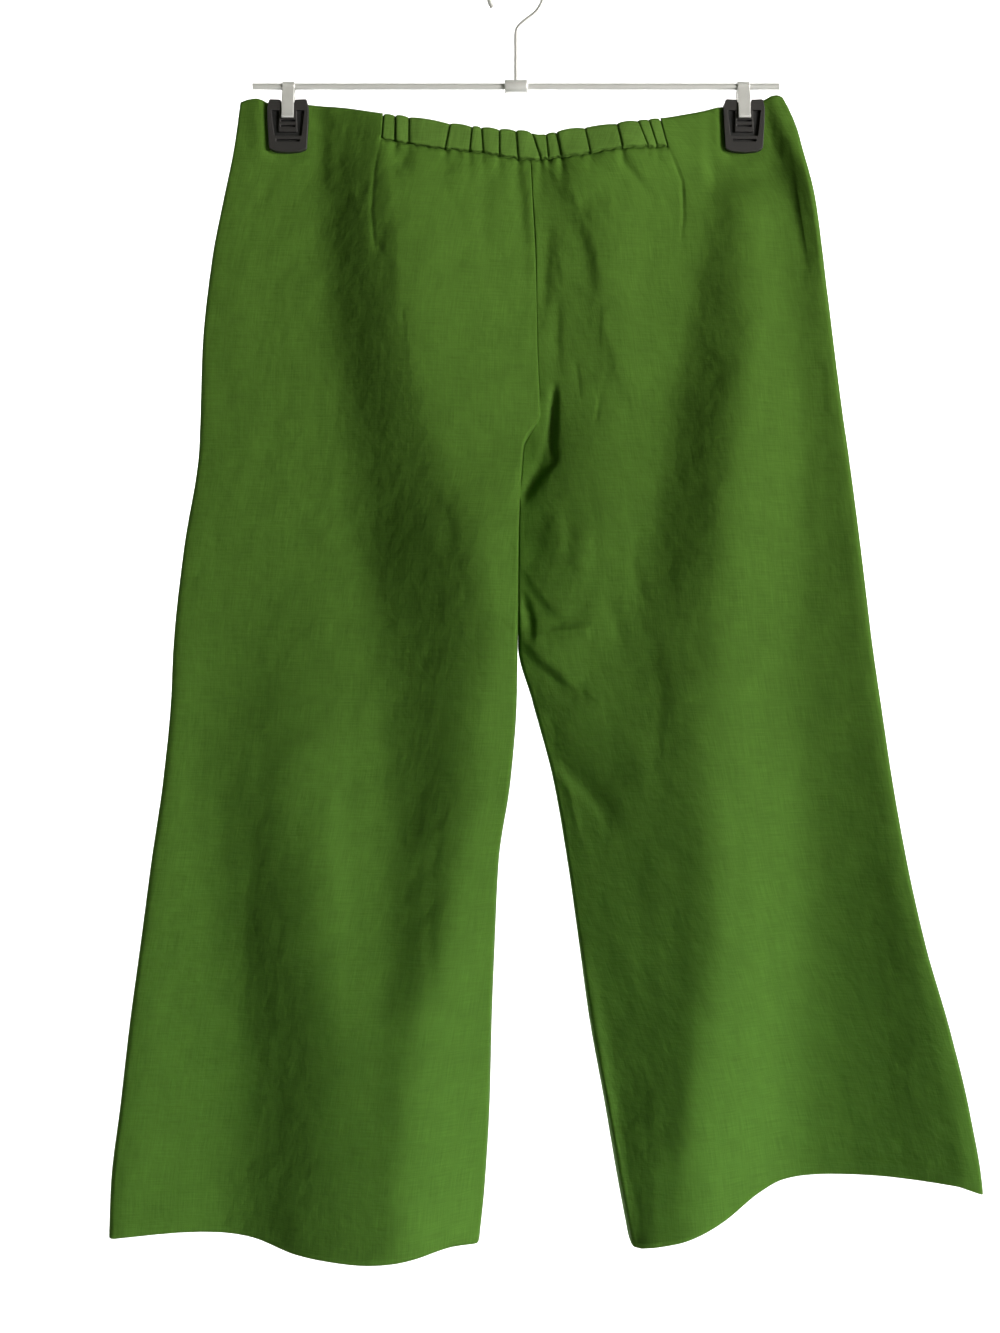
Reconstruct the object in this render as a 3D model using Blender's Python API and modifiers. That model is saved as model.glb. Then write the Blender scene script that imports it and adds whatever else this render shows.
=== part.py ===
"""Kick flare trousers, hung by the waist from a clip hanger with the back to the viewer.

The viewer is on -Y, so "left" and "right" are the wearer's own and the viewer's alike.
Heights are drops below the waist where the clips hold it. Depths are measured from the
plane of the side seams: towards the viewer on the back panels, away on the front ones.
Lengths are in millimetres until a vertex is made.
"""
import math

import bpy

MM = 0.001

# Hanger: the origin is the inside top of the hook, where a rail carries it.
HOOK_INNER_RADIUS = 20.0
HOOK_WIRE = 3.6
BAR_DIAMETER = 5.0
BAR_HALF_LENGTH = 206.0
BAR_Z = -93.0
FERRULE_LENGTH = 18.0
FERRULE_DIAMETER = 10.0
CLIP_SPACING = 355.5
CLIP_WIDTH = 32.0
CLIP_HEIGHT = 41.5
CLIP_CORNER = 3.5
CLIP_THICKNESS = 4.0
CLIP_NOTCH_WIDTH = 10.0
CLIP_NOTCH_DEPTH = 3.0
CLIP_SLOT_WIDTH = 19.0
CLIP_SLOT_HEIGHT = 2.4
CLIP_SLOT_DROP = 32.0
CLIP_TOP_DROP = -1.6
SPRING_WIDTH = 9.4
SPRING_THICKNESS = 0.8
SPRING_END_DROP = 13.5

# Cloth
WAIST_Z = -106.5
WALL = 1.4
CASING_WALL = 2.4
GAP = 0.3
PINCH_DEPTH = WALL + 0.2
PINCH_HALF_WIDTH = CLIP_WIDTH / 2 + 5.0
PINCH_FADE = 14.0
PINCH_DROP = 50.0
PINCH_DROP_FADE = 30.0
LAST_LEVEL_ROW = 790.0
FIRST_LEVEL_ROW = 62.0

# Back, left half: one row for each section. From the side seam inwards the depth passes
# an outer valley, a ridge, a trough and a crest, to the edge beside the centre seam,
# which is the inseam below the crotch.
LEFT_COLUMNS = ("drop", "side_x", "side_d", "valley_x", "valley_d", "ridge_x", "ridge_d",
                "trough_x", "trough_d", "crest_x", "crest_d", "edge_d", "centre_x", "centre_d")
LEFT_SECTIONS = (
    (-6, -215, 2.2, -204, 2.2, -178, 1.6, -153, 3, -101, 10, 13, 11, 13),
    (36, -221, 2.4, -205, 2.4, -178, 1.8, -159, 2.6, -101, 16, 15, 11, 15),
    (75, -229, 3.2, -207, 4, -180, 4, -158, 4, -101, 23, 15, 12.5, 14),
    (122, -238, 4, -207, 5, -180, 5, -154, 6, -92, 28, 16, 15, 13),
    (193, -245.5, 5, -211, 6, -176, 6, -149, 7, -80, 31, 20, 16.5, 12),
    (245, -247, 6, -214, 6.5, -176, 7, -146, 7, -65, 32, 26, 18.5, 10),
    (271, -248, 6, -215, 7, -176, 7, -143, 7, -57, 32, 30, 6, 9),
    (349, -260, 6, -220, 6, -168, 6, -133, 6, -26, 42, 38, 2, 5),
    (424, -268, 7, -227, 5, -153, 11, -115, 10, -19, 36, 30, 1.5, 0.15),
    (467, -270, 7, -235, 4, -149, 14, -110, 13, -29, 33, 25, 0.8, 0.15),
    (529, -276, 8, -243, 4, -168, 18, -104, 11, -33, 30, 24, -4, 0.15),
    (592, -285, 10, -241, 4, -154, 24, -101, 15, -46, 28, 18, -13.3, 0.15),
    (655, -293, 12, -230, 6, -143, 33, -101, 27, -57, 37, 19, -16.4, 0.15),
    (717, -301, 15, -224, 7, -127, 39, -105, 38.5, -79, 42, 19, -18.8, 0.15),
    (780, -308, 17, -222, 7, -117, 43, -104, 44, -88, 45, 18, -20.4, 0.15),
    (842, -315, 19, -221, 7, -118, 48, -107, 49, -92, 48, 16, -24, 0.15),
    (892, -316.5, 20, -221, 7, -118, 50, -107, 51, -92, 50, 15, -29, 0.15),
)

# Back, right half: from the centre seam outwards a swell, a trough, the long ridge that
# hangs from the clip, and an outer valley, to the side seam.
RIGHT_COLUMNS = ("drop", "centre_x", "centre_d", "edge_d", "swell_x", "swell_d", "trough_x",
                 "trough_d", "ridge_x", "ridge_d", "valley_x", "valley_d", "side_d", "side_x")
RIGHT_SECTIONS = (
    (-6, 11, 13, 13, 90, 12, 152, 4, 178, 1.6, 194, 2.2, 2.2, 208),
    (4, 11, 13, 13, 90, 12, 152, 4, 178, 1.6, 195, 2.2, 2.4, 213.5),
    (20, 11, 14, 14, 84, 14, 153, 4, 178, 1.6, 195, 2.3, 4, 220),
    (36, 11, 15, 15, 74, 17, 152, 5, 178, 2, 197, 2.6, 7, 224),
    (75, 12.5, 12, 15, 66, 20, 146, 9, 177, 12, 208, 7, 13, 233),
    (122, 15, 12, 16, 72, 20, 139, 14, 173, 21, 213, 12, 17, 239),
    (193, 16.5, 10, 15, 72, 19, 125, 15, 176, 28, 218, 18, 22, 247),
    (245, 18.5, 9, 13, 68, 19, 116, 16, 168, 32, 226, 16, 20, 254),
    (271, 6, 8, 12, 66, 20, 112, 17, 165, 33, 228, 15, 19, 258),
    (349, 2, 5, 11, 66, 19, 99, 18, 156, 34, 226, 14, 20, 268),
    (424, 1.5, 0.15, 9, 56, 17, 88, 19, 148, 31, 222, 13, 20, 277),
    (467, 12.5, 0.15, 8, 60, 20, 94, 26, 142, 36, 221, 13, 21, 283),
    (529, 29, 0.15, 7, 70, 20, 104, 30, 143, 38, 228, 10, 23, 292),
    (592, 40, 0.15, 7, 82, 20, 114, 30, 148, 39, 229, 7, 25, 303),
    (655, 49, 0.15, 8, 90, 21, 118, 30, 150, 40, 232, 5.5, 29, 316),
    (717, 57.5, 0.15, 9, 99, 25, 120, 34, 147, 43, 234, 5, 32, 333),
    (780, 69, 0.15, 10, 100, 27, 119, 36, 140, 45, 237, 5, 35, 347),
    (842, 79.6, 0.15, 13, 105, 31, 118, 39, 134, 47, 240, 5, 37, 356),
    (892, 89, 0.15, 14, 106, 32, 118, 40, 134, 48, 240, 5, 38, 357),
)

# Front, both halves: the depth at the side, its general fullness, the swing of its soft
# folds about that, and the depth of the centre seam.
FRONT_COLUMNS = ("drop", "side_d", "full_d", "swing", "centre_d")
FRONT_SECTIONS = (
    (-6, 2.2, 9, 0, 8.5),
    (36, 2.4, 11, 0.4, 10.4),
    (122, 5, 14, 2, 13),
    (245, 7, 18, 4, 15),
    (349, 9, 20, 5, 9),
    (400, 10, 21, 5, 3.5),
    (424, 10, 21, 5, 0.15),
    (592, 12, 25, 6, 0.15),
    (892, 16, 30, 9, 0.15),
)
FRONT_FOLDS = (("outer", 0.27, 1.0), ("hollow", 0.52, -1.0), ("inner", 0.78, 0.8))
FRONT_FOLD_SLANT = 0.10

# Edges across the width: where the waist, the casing's seam and the hems run.
WAIST_LINE = ((-216, -3), (-163, 0), (-101, 9), (-60, 18), (-5, 26.5), (22, 26.5),
              (60, 20), (117, 13), (139, 6), (178, 0), (198, -4.5), (209, -3))
SEAM_LINE = ((-101, 33), (-66, 40), (-28, 43.6), (11, 49), (42, 46.7), (80, 40.5), (117.5, 36.7))
LEFT_HEM = ((-316, 881), (-250, 878), (-205, 880), (-165, 887), (-118, 889), (-75, 885),
            (-50, 882.5), (-29, 885))
RIGHT_HEM = ((89, 883), (122, 874), (155, 862), (188, 846), (210, 839), (250, 835),
             (300, 833), (335, 834), (356, 840))
# The darts start at the casing's ends and run down the seat.
LEFT_DART = ((0, -101), (36, -101), (122, -110), (424, -110), (892, -130))
RIGHT_DART = ((0, 117.5), (36, 117.5), (122, 127), (424, 140), (892, 205))

# The creases that the elastic draws into the casing: where each starts, where it ends
# and how deep it is.
CREASES = (
    ("top_x", "bottom_x", "depth"),
    (-93.5, -93.5, 2.6),
    (-83, -83, 1.6),
    (-51, -55, 1.6),
    (-34, -36, 1.9),
    (-27, -25.5, 1.7),
    (-13, -13, 1.7),
    (0, 1.5, 2.0),
    (12, 19, 2.6),
    (23, 25, 1.5),
    (31, 35, 2.7),
    (53, 57, 1.3),
    (78, 82, 1.8),
    (94, 102, 1.6),
    (102.5, 109, 1.7),
)
CREASE_WIDTH = 3.4
# The panels' top steps down to the casing's seam over this width.
CASING_STEP = 0.4
# Where the panel lines that start at the clips reach the hem.
CLIP_LINE_HEM = {-1: 215.0, 1: 268.0}
CLIP_LINE_SPREAD = 30.0
CLIP_LINE_START = PINCH_DROP + 12.0
GATHER_FADE = 16.0
GATHER_SHARE = 0.7
PUFF = 1.2
DIP_SHARE = 0.6

# How far in from each edge a panel turns into its seam. A deep side turns over its full
# width, a shallow one over less. On the right of the seat the centre seam lies in a valley.
SIDE_TURN = 7.0
SIDE_TURN_FLATNESS = 1.6
FRONT_CENTRE_TURN = 8.0
BACK_CENTRE_TURN = 5.0
SEAM_VALLEY_TURN = 17.0
SEAM_VALLEY_START, SEAM_VALLEY_FULL = 190.0, 280.0
SEAM_VALLEY_FADE, SEAM_VALLEY_END = 400.0, 460.0

GREEN = (0.072, 0.145, 0.018, 1.0)
CREASE_ROWS = CREASES[1:]


# ---------------------------------------------------------------- small helpers

def smooth_curve(points, at):
    """Value at a place on the smooth curve through (place, value) points, no overshoot."""
    places = [p[0] for p in points]
    values = [p[1] for p in points]
    if at <= places[0]:
        return values[0]
    if at >= places[-1]:
        return values[-1]
    k = max(i for i in range(len(places) - 1) if places[i] <= at)
    steps = [places[i + 1] - places[i] for i in range(len(places) - 1)]
    secants = [(values[i + 1] - values[i]) / steps[i] for i in range(len(steps))]

    def slope(i):
        if i == 0 or i == len(places) - 1:
            return secants[0] if i == 0 else secants[-1]
        before, after = secants[i - 1], secants[i]
        return 0.0 if before * after <= 0 else 2 * before * after / (before + after)

    t = (at - places[k]) / steps[k]
    return (values[k] * (1 + 2 * t) * (1 - t) ** 2 + values[k + 1] * t * t * (3 - 2 * t)
            + slope(k) * steps[k] * t * (1 - t) ** 2 - slope(k + 1) * steps[k] * t * t * (1 - t))


def step_up(t):
    """0 below 0, 1 above 1, smooth between."""
    t = min(max(t, 0.0), 1.0)
    return t * t * (3 - 2 * t)


def table_value(columns, rows, name, drop):
    """A named column of a section table, read at any drop."""
    i = columns.index(name)
    return smooth_curve([(row[0], row[i]) for row in rows], drop)


def left(name, drop):
    return table_value(LEFT_COLUMNS, LEFT_SECTIONS, name, drop)


def right(name, drop):
    return table_value(RIGHT_COLUMNS, RIGHT_SECTIONS, name, drop)


def front(name, drop):
    return table_value(FRONT_COLUMNS, FRONT_SECTIONS, name, drop)


# ---------------------------------------------------------------- the cloth's form

def pinch(x, drop):
    """How far the clips close the waist: 1 between the jaws, 0 away from them."""
    off = min(abs(x - CLIP_SPACING / 2), abs(x + CLIP_SPACING / 2)) - PINCH_HALF_WIDTH
    down = drop - PINCH_DROP
    return (1 - step_up(off / PINCH_FADE)) * (1 - step_up(down / PINCH_DROP_FADE))


def gather(x, drop):
    """Depth that the casing's creases take from the cloth just below its seam."""
    below = drop - smooth_curve(SEAM_LINE, x)
    fade = math.exp(-max(below, 0.0) / GATHER_FADE)
    dip = sum(depth * math.exp(-((x - bottom_x) / CREASE_WIDTH) ** 2)
              for _, bottom_x, depth in CREASE_ROWS)
    return GATHER_SHARE * fade * dip


def fold_depth(side, x, drop):
    """Depth of the back's broad folds."""
    if side < 0:
        stops = [(left("side_x", drop), left("side_d", drop))]
        stops += [(left(f + "_x", drop), left(f + "_d", drop))
                  for f in ("valley", "ridge", "trough", "crest")]
        stops += [(left("centre_x", drop), left("edge_d", drop))]
    else:
        stops = [(right("centre_x", drop), right("edge_d", drop))]
        stops += [(right(f + "_x", drop), right(f + "_d", drop))
                  for f in ("swell", "trough", "ridge", "valley")]
        stops += [(right("side_x", drop), right("side_d", drop))]
    return smooth_curve(stops, x)


def back_depth(side, x, drop):
    """Depth of the back's outer face, before it turns in at its edges."""
    depth = fold_depth(side, x, drop)
    if SEAM_LINE[0][0] < x < SEAM_LINE[-1][0]:
        depth -= gather(x, drop)
    return depth + (PINCH_DEPTH - depth) * pinch(x, drop)


def front_depth(side, x, drop):
    """Depth of the front's outer face, before it turns in at its edges."""
    side_x, centre_x = edges(side, drop)
    across = (x - side_x) / (centre_x - side_x)
    lean = FRONT_FOLD_SLANT * (drop / LAST_LEVEL_ROW - 0.5)
    stops = [(0.0, front("side_d", drop))]
    stops += [(place + side * lean, front("full_d", drop) + share * front("swing", drop))
              for _, place, share in FRONT_FOLDS]
    stops += [(1.0, front("full_d", drop))]
    depth = smooth_curve(stops, across)
    return depth + (PINCH_DEPTH - depth) * pinch(x, drop)


def edges(side, drop):
    """X of the side seam and of the centre seam or inseam."""
    read = left if side < 0 else right
    return read("side_x", drop), read("centre_x", drop) + side * GAP / 2


def side_turn(depth):
    """How far in from the side seam the cloth turns: a crisp but never a kinked edge."""
    return min(SIDE_TURN, depth * depth / SIDE_TURN_FLATNESS)


def centre_turn(side, drop, is_back):
    """How far from the centre seam or inseam the cloth turns into it."""
    if not is_back:
        return FRONT_CENTRE_TURN
    if side < 0:
        return BACK_CENTRE_TURN
    opens = (drop - SEAM_VALLEY_START) / (SEAM_VALLEY_FULL - SEAM_VALLEY_START)
    closes = (drop - SEAM_VALLEY_FADE) / (SEAM_VALLEY_END - SEAM_VALLEY_FADE)
    return BACK_CENTRE_TURN + SEAM_VALLEY_TURN * step_up(opens) * (1 - step_up(closes))


# ---------------------------------------------------------------- panels

# A turn into a seam, as (share of its reach, share of its depth): straight in at the
# seam, so that the walls stand face to face there, then round.
TURN_STOPS = ((0.0, 0.0), (0.02, 0.3), (0.18, 0.66), (0.5, 0.89), (1.0, 1.0))


def clip_line(side, edge, drop):
    """X of the panel line that leaves a clip's outer (1) or inner (-1) edge."""
    clip_x = side * (CLIP_SPACING / 2 + edge * PINCH_HALF_WIDTH)
    hem_x = side * (CLIP_LINE_HEM[side] + edge * CLIP_LINE_SPREAD)
    return smooth_curve([(CLIP_LINE_START, clip_x), (LEFT_SECTIONS[-1][0], hem_x)], drop)


def panel_columns(side, is_back):
    """Where a panel's columns run: (zone, share), the zones from side seam to centre."""
    columns = [("side", stop) for stop in TURN_STOPS]
    columns += [("flap", 0.5)]
    columns += [("clip", k / 4) for k in range(5)]
    if is_back:
        columns += [("outer", k / 3) for k in range(1, 4)]
        columns += [("outer_end", 1.0)]
        top = FIRST_LEVEL_ROW
        dart_x = (LEFT_DART if side < 0 else RIGHT_DART)[0][1]
        end_x = edges(side, top)[1] + side * centre_turn(side, top, True)
        marks = [c[1] for c in CREASE_ROWS if (c[1] - dart_x) * (c[1] - end_x) < 0]
        marks = sorted([dart_x, end_x] + marks, reverse=side > 0)
        for a, b in zip(marks, marks[1:]):
            columns += [("inner", ((a + b) / 2 - dart_x) / (end_x - dart_x))]
            columns += [("inner", (b - dart_x) / (end_x - dart_x))]
        columns.pop()
    else:
        columns += [("whole", k / 8) for k in range(1, 8)]
    columns += [("centre", stop) for stop in reversed(TURN_STOPS)]
    return columns


def panel_point(side, is_back, column, drop):
    """(x, depth) of a panel's outer face on one of its columns."""
    zone, share = column
    depth_of = back_depth if is_back else front_depth
    side_x, centre_x = edges(side, drop)
    side_depth = back_depth(side, side_x, drop) if is_back else front("side_d", drop)
    turn = side_turn(side_depth)
    inner_turn = centre_turn(side, drop, is_back)
    start, end = side_x - side * turn, centre_x + side * inner_turn
    if zone == "side":
        x = side_x - side * turn * share[0]
        low = GAP / 2
        return x, low + (depth_of(side, start, drop) - low) * share[1]
    if zone == "centre":
        x = centre_x + side * inner_turn * share[0]
        low = left("centre_d", drop) if is_back else front("centre_d", drop)
        if is_back and side > 0:
            low = right("centre_d", drop)
        return x, low + (depth_of(side, end, drop) - low) * share[1]
    clip_out, clip_in = clip_line(side, 1, drop), clip_line(side, -1, drop)
    dart = smooth_curve(LEFT_DART if side < 0 else RIGHT_DART, drop)
    casing_side = dart - side * CASING_STEP
    spans = {"flap": (start, clip_out), "clip": (clip_out, clip_in), "outer": (clip_in, dart),
             "outer_end": (dart, casing_side), "inner": (casing_side, end),
             "whole": (clip_in, end)}
    x = spans[zone][0] + (spans[zone][1] - spans[zone][0]) * share
    return x, depth_of(side, x, drop)


BACK_LEVELS = (80, 104, 134, 168, 204, 240, 262, 280, 305, 335, 365, 392, 410, 424, 440,
               465, 500, 540, 585, 635, 690, 740, LAST_LEVEL_ROW)
FRONT_LEVELS = (95, 140, 190, 245, 300, 345, 380, 405, 424, 440, 480, 540, 610, 700,
                LAST_LEVEL_ROW)


def row_drops(x_of, side, is_back, in_casing):
    """The drops of a column's rows, top to hem; x_of gives the column's x at a drop."""
    hem_line = LEFT_HEM if side < 0 else RIGHT_HEM
    hem = smooth_curve(hem_line, x_of(LAST_LEVEL_ROW + 60))
    waist = smooth_curve(WAIST_LINE, x_of(0))
    seam = smooth_curve(SEAM_LINE, x_of(36)) + GAP
    drops = []
    if not in_casing:
        drops += [waist + (seam - GAP - waist) * k / 3 for k in range(3)]
    else:
        drops += [None] * 3
    drops += [seam + (FIRST_LEVEL_ROW - seam) * k / 2 for k in range(3)]
    drops += list(BACK_LEVELS if is_back else FRONT_LEVELS)
    drops += [LAST_LEVEL_ROW + (hem - LAST_LEVEL_ROW) * k / 3 for k in range(1, 4)]
    return drops


def cloth_material(name, colour):
    material = bpy.data.materials.new(name)
    material.use_nodes = True
    shader = material.node_tree.nodes["Principled BSDF"]
    shader.inputs["Base Color"].default_value = colour
    shader.inputs["Roughness"].default_value = 0.9
    return material


def add_wall(name, grid, is_back, thickness, material, collection):
    """A solid wall behind a grid of outer points; None leaves a hole in the grid."""
    index, vertices = {}, []
    for i, line in enumerate(grid):
        for j, point in enumerate(line):
            if point is not None:
                index[i, j] = len(vertices)
                vertices.append([c * MM for c in point])
    faces = []
    for i in range(len(grid) - 1):
        for j in range(len(grid[0]) - 1):
            corners = [(i, j), (i + 1, j), (i + 1, j + 1), (i, j + 1)]
            if all(c in index for c in corners):
                quad = [index[c] for c in corners]
                faces.append(quad[::-1] if is_back else quad)
    mesh = bpy.data.meshes.new(name)
    mesh.from_pydata(vertices, [], faces)
    mesh.materials.append(material)
    obj = bpy.data.objects.new(name, mesh)
    collection.objects.link(obj)
    wall = obj.modifiers.new("wall", "SOLIDIFY")
    wall.thickness = thickness * MM
    wall.offset = -1.0
    mesh.shade_smooth()
    return obj


def add_panel(name, side, is_back, material, collection):
    """One of the four leg panels, from the waist to the hem."""
    columns = panel_columns(side, is_back)
    grid = []
    for column in columns:
        in_casing = is_back and column[0] in ("outer_end", "inner", "centre")

        def x_of(drop, column=column):
            return panel_point(side, is_back, column, drop)[0]

        line = []
        for drop in row_drops(x_of, side, is_back, in_casing):
            if drop is None:
                line.append(None)
                continue
            x, depth = panel_point(side, is_back, column, drop)
            line.append((x, -depth if is_back else depth, WAIST_Z - drop))
        grid.append(line)
    if side > 0:
        grid.reverse()
    return add_wall(name, grid, is_back, WALL, material, collection)


# ---------------------------------------------------------------- the elastic casing

CASING_INSET = CASING_STEP + GAP
CASING_ENDS = (((SEAM_LINE[0][0] + CASING_INSET, SEAM_LINE[0][0] + CASING_INSET, 0.0),)
               + CREASE_ROWS
               + ((SEAM_LINE[-1][0] - CASING_INSET, SEAM_LINE[-1][0] - CASING_INSET, 0.0),))
CASING_STEPS = (0.0, 0.24, 0.5, 0.76)
CASING_ROWS = 4
WIDE_PUFF = 12.0


def casing_point(slot, height):
    """A point of the casing: slot counts creases, height runs from seam 0 to waist 1."""
    k = min(int(slot), len(CASING_ENDS) - 2)
    share = slot - k
    (top_a, low_a, deep_a), (top_b, low_b, deep_b) = CASING_ENDS[k], CASING_ENDS[k + 1]
    low_x, top_x = low_a + (low_b - low_a) * share, top_a + (top_b - top_a) * share
    x = low_x + (top_x - low_x) * height
    seam, waist = smooth_curve(SEAM_LINE, low_x), smooth_curve(WAIST_LINE, top_x)
    drop = seam + (waist - seam) * height
    side = -1 if x < left("centre_x", drop) else 1
    dip = deep_a * (1 - step_up(share / 0.5)) + deep_b * step_up((share - 0.5) / 0.5)
    puff = PUFF * min((low_b - low_a) / WIDE_PUFF, 1.0) * math.sin(math.pi * share)
    return x, -(fold_depth(side, x, drop) + puff - DIP_SHARE * dip), WAIST_Z - drop


def add_casing(material, collection):
    slots = [k + step for k in range(len(CASING_ENDS) - 1) for step in CASING_STEPS]
    slots.append(len(CASING_ENDS) - 1.0)
    grid = [[casing_point(slot, 1 - row / CASING_ROWS) for row in range(CASING_ROWS + 1)]
            for slot in slots]
    return add_wall("back_casing", grid, True, CASING_WALL, material, collection)


# ---------------------------------------------------------------- the hanger

def plain_material(name, colour, roughness, metallic):
    material = bpy.data.materials.new(name)
    material.use_nodes = True
    shader = material.node_tree.nodes["Principled BSDF"]
    shader.inputs["Base Color"].default_value = colour
    shader.inputs["Roughness"].default_value = roughness
    shader.inputs["Metallic"].default_value = metallic
    return material


def add_rod(name, points, diameter, material, collection):
    """A round wire along points."""
    curve = bpy.data.curves.new(name, "CURVE")
    curve.dimensions = "3D"
    curve.bevel_depth = diameter / 2 * MM
    curve.bevel_resolution = 3
    curve.use_fill_caps = True
    spline = curve.splines.new("POLY")
    spline.points.add(len(points) - 1)
    for stop, point in zip(spline.points, points):
        stop.co = (*[c * MM for c in point], 1.0)
    curve.materials.append(material)
    obj = bpy.data.objects.new(name, curve)
    collection.objects.link(obj)
    return obj


def hook_route():
    """The wire's centre line: up from the ferrule, round the rail and down to its tip."""
    radius = HOOK_INNER_RADIUS + HOOK_WIRE / 2
    centre_z = -HOOK_INNER_RADIUS
    foot = BAR_Z + FERRULE_DIAMETER / 2 + GAP
    neck = centre_z - radius - 9.0
    route = [(0, 0, foot), (0, 0, (foot + neck) / 2), (0, 0, neck)]
    start, end = math.radians(-62), math.radians(212)
    count = 22
    for k in range(count + 1):
        angle = start + (end - start) * k / count
        route.append((radius * math.cos(angle), 0, centre_z + radius * math.sin(angle)))
    bend = [(1.6, 0, neck + 4.0), (5.2, 0, neck + 7.6)]
    return route[:3] + bend + route[3:]


def add_ferrule(material, collection):
    """The sleeve that holds the hook on the bar."""
    inner, outer = BAR_DIAMETER / 2 + GAP, FERRULE_DIAMETER / 2
    half = FERRULE_LENGTH / 2
    profile = [(inner, half), (outer - 1.0, half), (outer, half - 1.0), (outer, 1.0 - half),
               (outer - 1.0, -half), (inner, -half), (inner, half)]
    mesh = bpy.data.meshes.new("hanger_ferrule")
    edges_of = [(i, i + 1) for i in range(len(profile) - 2)] + [(len(profile) - 2, 0)]
    mesh.from_pydata([(r * MM, 0, z * MM) for r, z in profile[:-1]], edges_of, [])
    mesh.materials.append(material)
    obj = bpy.data.objects.new("hanger_ferrule", mesh)
    obj.location = (0, 0, BAR_Z * MM)
    obj.rotation_euler = (0, math.pi / 2, 0)
    turn = obj.modifiers.new("turn", "SCREW")
    turn.steps = turn.render_steps = 24
    turn.use_merge_vertices = True
    turn.merge_threshold = 0.00001
    collection.objects.link(obj)
    return obj


def jaw_outline():
    """One jaw's outline, from its top left corner on, with the notch for the spring."""
    half, top, bottom = CLIP_WIDTH / 2, 0.0, -CLIP_HEIGHT
    notch = CLIP_NOTCH_WIDTH / 2
    waist_in = 1.2
    points = [(-half + waist_in, top), (-notch, top), (-notch, top - CLIP_NOTCH_DEPTH),
              (notch, top - CLIP_NOTCH_DEPTH), (notch, top), (half - waist_in, top)]
    points += [(half, top - 6), (half - 0.4, top - 20), (half, bottom + 14)]
    for corner in (-1, 1):
        centre = (-corner * (half - CLIP_CORNER), bottom + CLIP_CORNER + 1.5)
        first = 0 if corner < 0 else -90
        for k in range(4):
            angle = math.radians(first - 90 * k / 3)
            points.append((centre[0] + CLIP_CORNER * math.cos(angle),
                           centre[1] + CLIP_CORNER * math.sin(angle)))
        if corner < 0:
            points.append((0, bottom))
    points += [(-half, bottom + 14), (-half + 0.4, top - 20), (-half, top - 6)]
    return points


def add_jaw(name, clip_x, face, material, collection):
    """A clip's jaw: a flat plate with a slot. face is -1 on the viewer's side."""
    curve = bpy.data.curves.new(name, "CURVE")
    curve.dimensions = "2D"
    curve.fill_mode = "BOTH"
    slot = [(sx * CLIP_SLOT_WIDTH / 2, -CLIP_SLOT_DROP + sz * CLIP_SLOT_HEIGHT / 2)
            for sx, sz in ((-1, -1), (1, -1), (1, 1), (-1, 1))]
    for ring in (jaw_outline(), slot):
        spline = curve.splines.new("POLY")
        spline.points.add(len(ring) - 1)
        for stop, (x, z) in zip(spline.points, ring):
            stop.co = (x * MM, z * MM, 0, 1.0)
        spline.use_cyclic_u = True
    curve.extrude = CLIP_THICKNESS / 2 * MM
    curve.materials.append(material)
    obj = bpy.data.objects.new(name, curve)
    inner = PINCH_DEPTH + GAP
    obj.location = (clip_x * MM, face * (inner + CLIP_THICKNESS / 2) * MM,
                    (WAIST_Z - CLIP_TOP_DROP) * MM)
    obj.rotation_euler = (math.pi / 2, 0, 0)
    collection.objects.link(obj)
    return obj


def add_spring(name, clip_x, material, collection):
    """A clip's U spring: a strip from one jaw over the bar to the other."""
    loop = BAR_DIAMETER / 2 + GAP + SPRING_THICKNESS
    flat = PINCH_DEPTH + GAP + CLIP_THICKNESS + GAP + SPRING_THICKNESS
    jaw_top = WAIST_Z - CLIP_TOP_DROP
    route = [(-flat, WAIST_Z - SPRING_END_DROP), (-flat, jaw_top - 1.0), (-flat, jaw_top + 0.5)]
    route += [(-loop * math.cos(math.radians(a)), BAR_Z + loop * math.sin(math.radians(a)))
              for a in range(-25, 206, 23)]
    route += [(flat, z) for _, z in reversed(route[:3])]
    half = SPRING_WIDTH / 2
    vertices = [((clip_x + x) * MM, y * MM, z * MM) for y, z in route for x in (-half, half)]
    faces = [(2 * i, 2 * i + 1, 2 * i + 3, 2 * i + 2) for i in range(len(route) - 1)]
    mesh = bpy.data.meshes.new(name)
    mesh.from_pydata(vertices, [], faces)
    mesh.materials.append(material)
    obj = bpy.data.objects.new(name, mesh)
    collection.objects.link(obj)
    wall = obj.modifiers.new("wall", "SOLIDIFY")
    wall.thickness = SPRING_THICKNESS * MM
    wall.offset = -1.0
    return obj


def main():
    for obj in list(bpy.data.objects):
        bpy.data.objects.remove(obj, do_unlink=True)
    garment = bpy.data.collections.new("kick_flare_trousers")
    bpy.context.scene.collection.children.link(garment)
    linen = cloth_material("linen", GREEN)
    plastic = plain_material("black_plastic", (0.012, 0.012, 0.012, 1), 0.45, 0.0)
    steel = plain_material("steel", (0.62, 0.62, 0.61, 1), 0.25, 1.0)

    for side, word in ((-1, "left"), (1, "right")):
        add_panel("back_" + word, side, True, linen, garment)
        add_panel("front_" + word, side, False, linen, garment)
    add_casing(linen, garment)

    add_rod("hanger_bar", [(-BAR_HALF_LENGTH, 0, BAR_Z), (BAR_HALF_LENGTH, 0, BAR_Z)],
            BAR_DIAMETER, steel, garment)
    add_rod("hanger_hook", hook_route(), HOOK_WIRE, steel, garment)
    add_ferrule(steel, garment)
    for side, word in ((-1, "left"), (1, "right")):
        clip_x = side * CLIP_SPACING / 2
        add_jaw("clip_" + word + "_jaw_back", clip_x, -1, plastic, garment)
        add_jaw("clip_" + word + "_jaw_front", clip_x, 1, plastic, garment)
        add_spring("clip_" + word + "_spring", clip_x, steel, garment)


if __name__ == "__main__":
    main()
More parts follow.
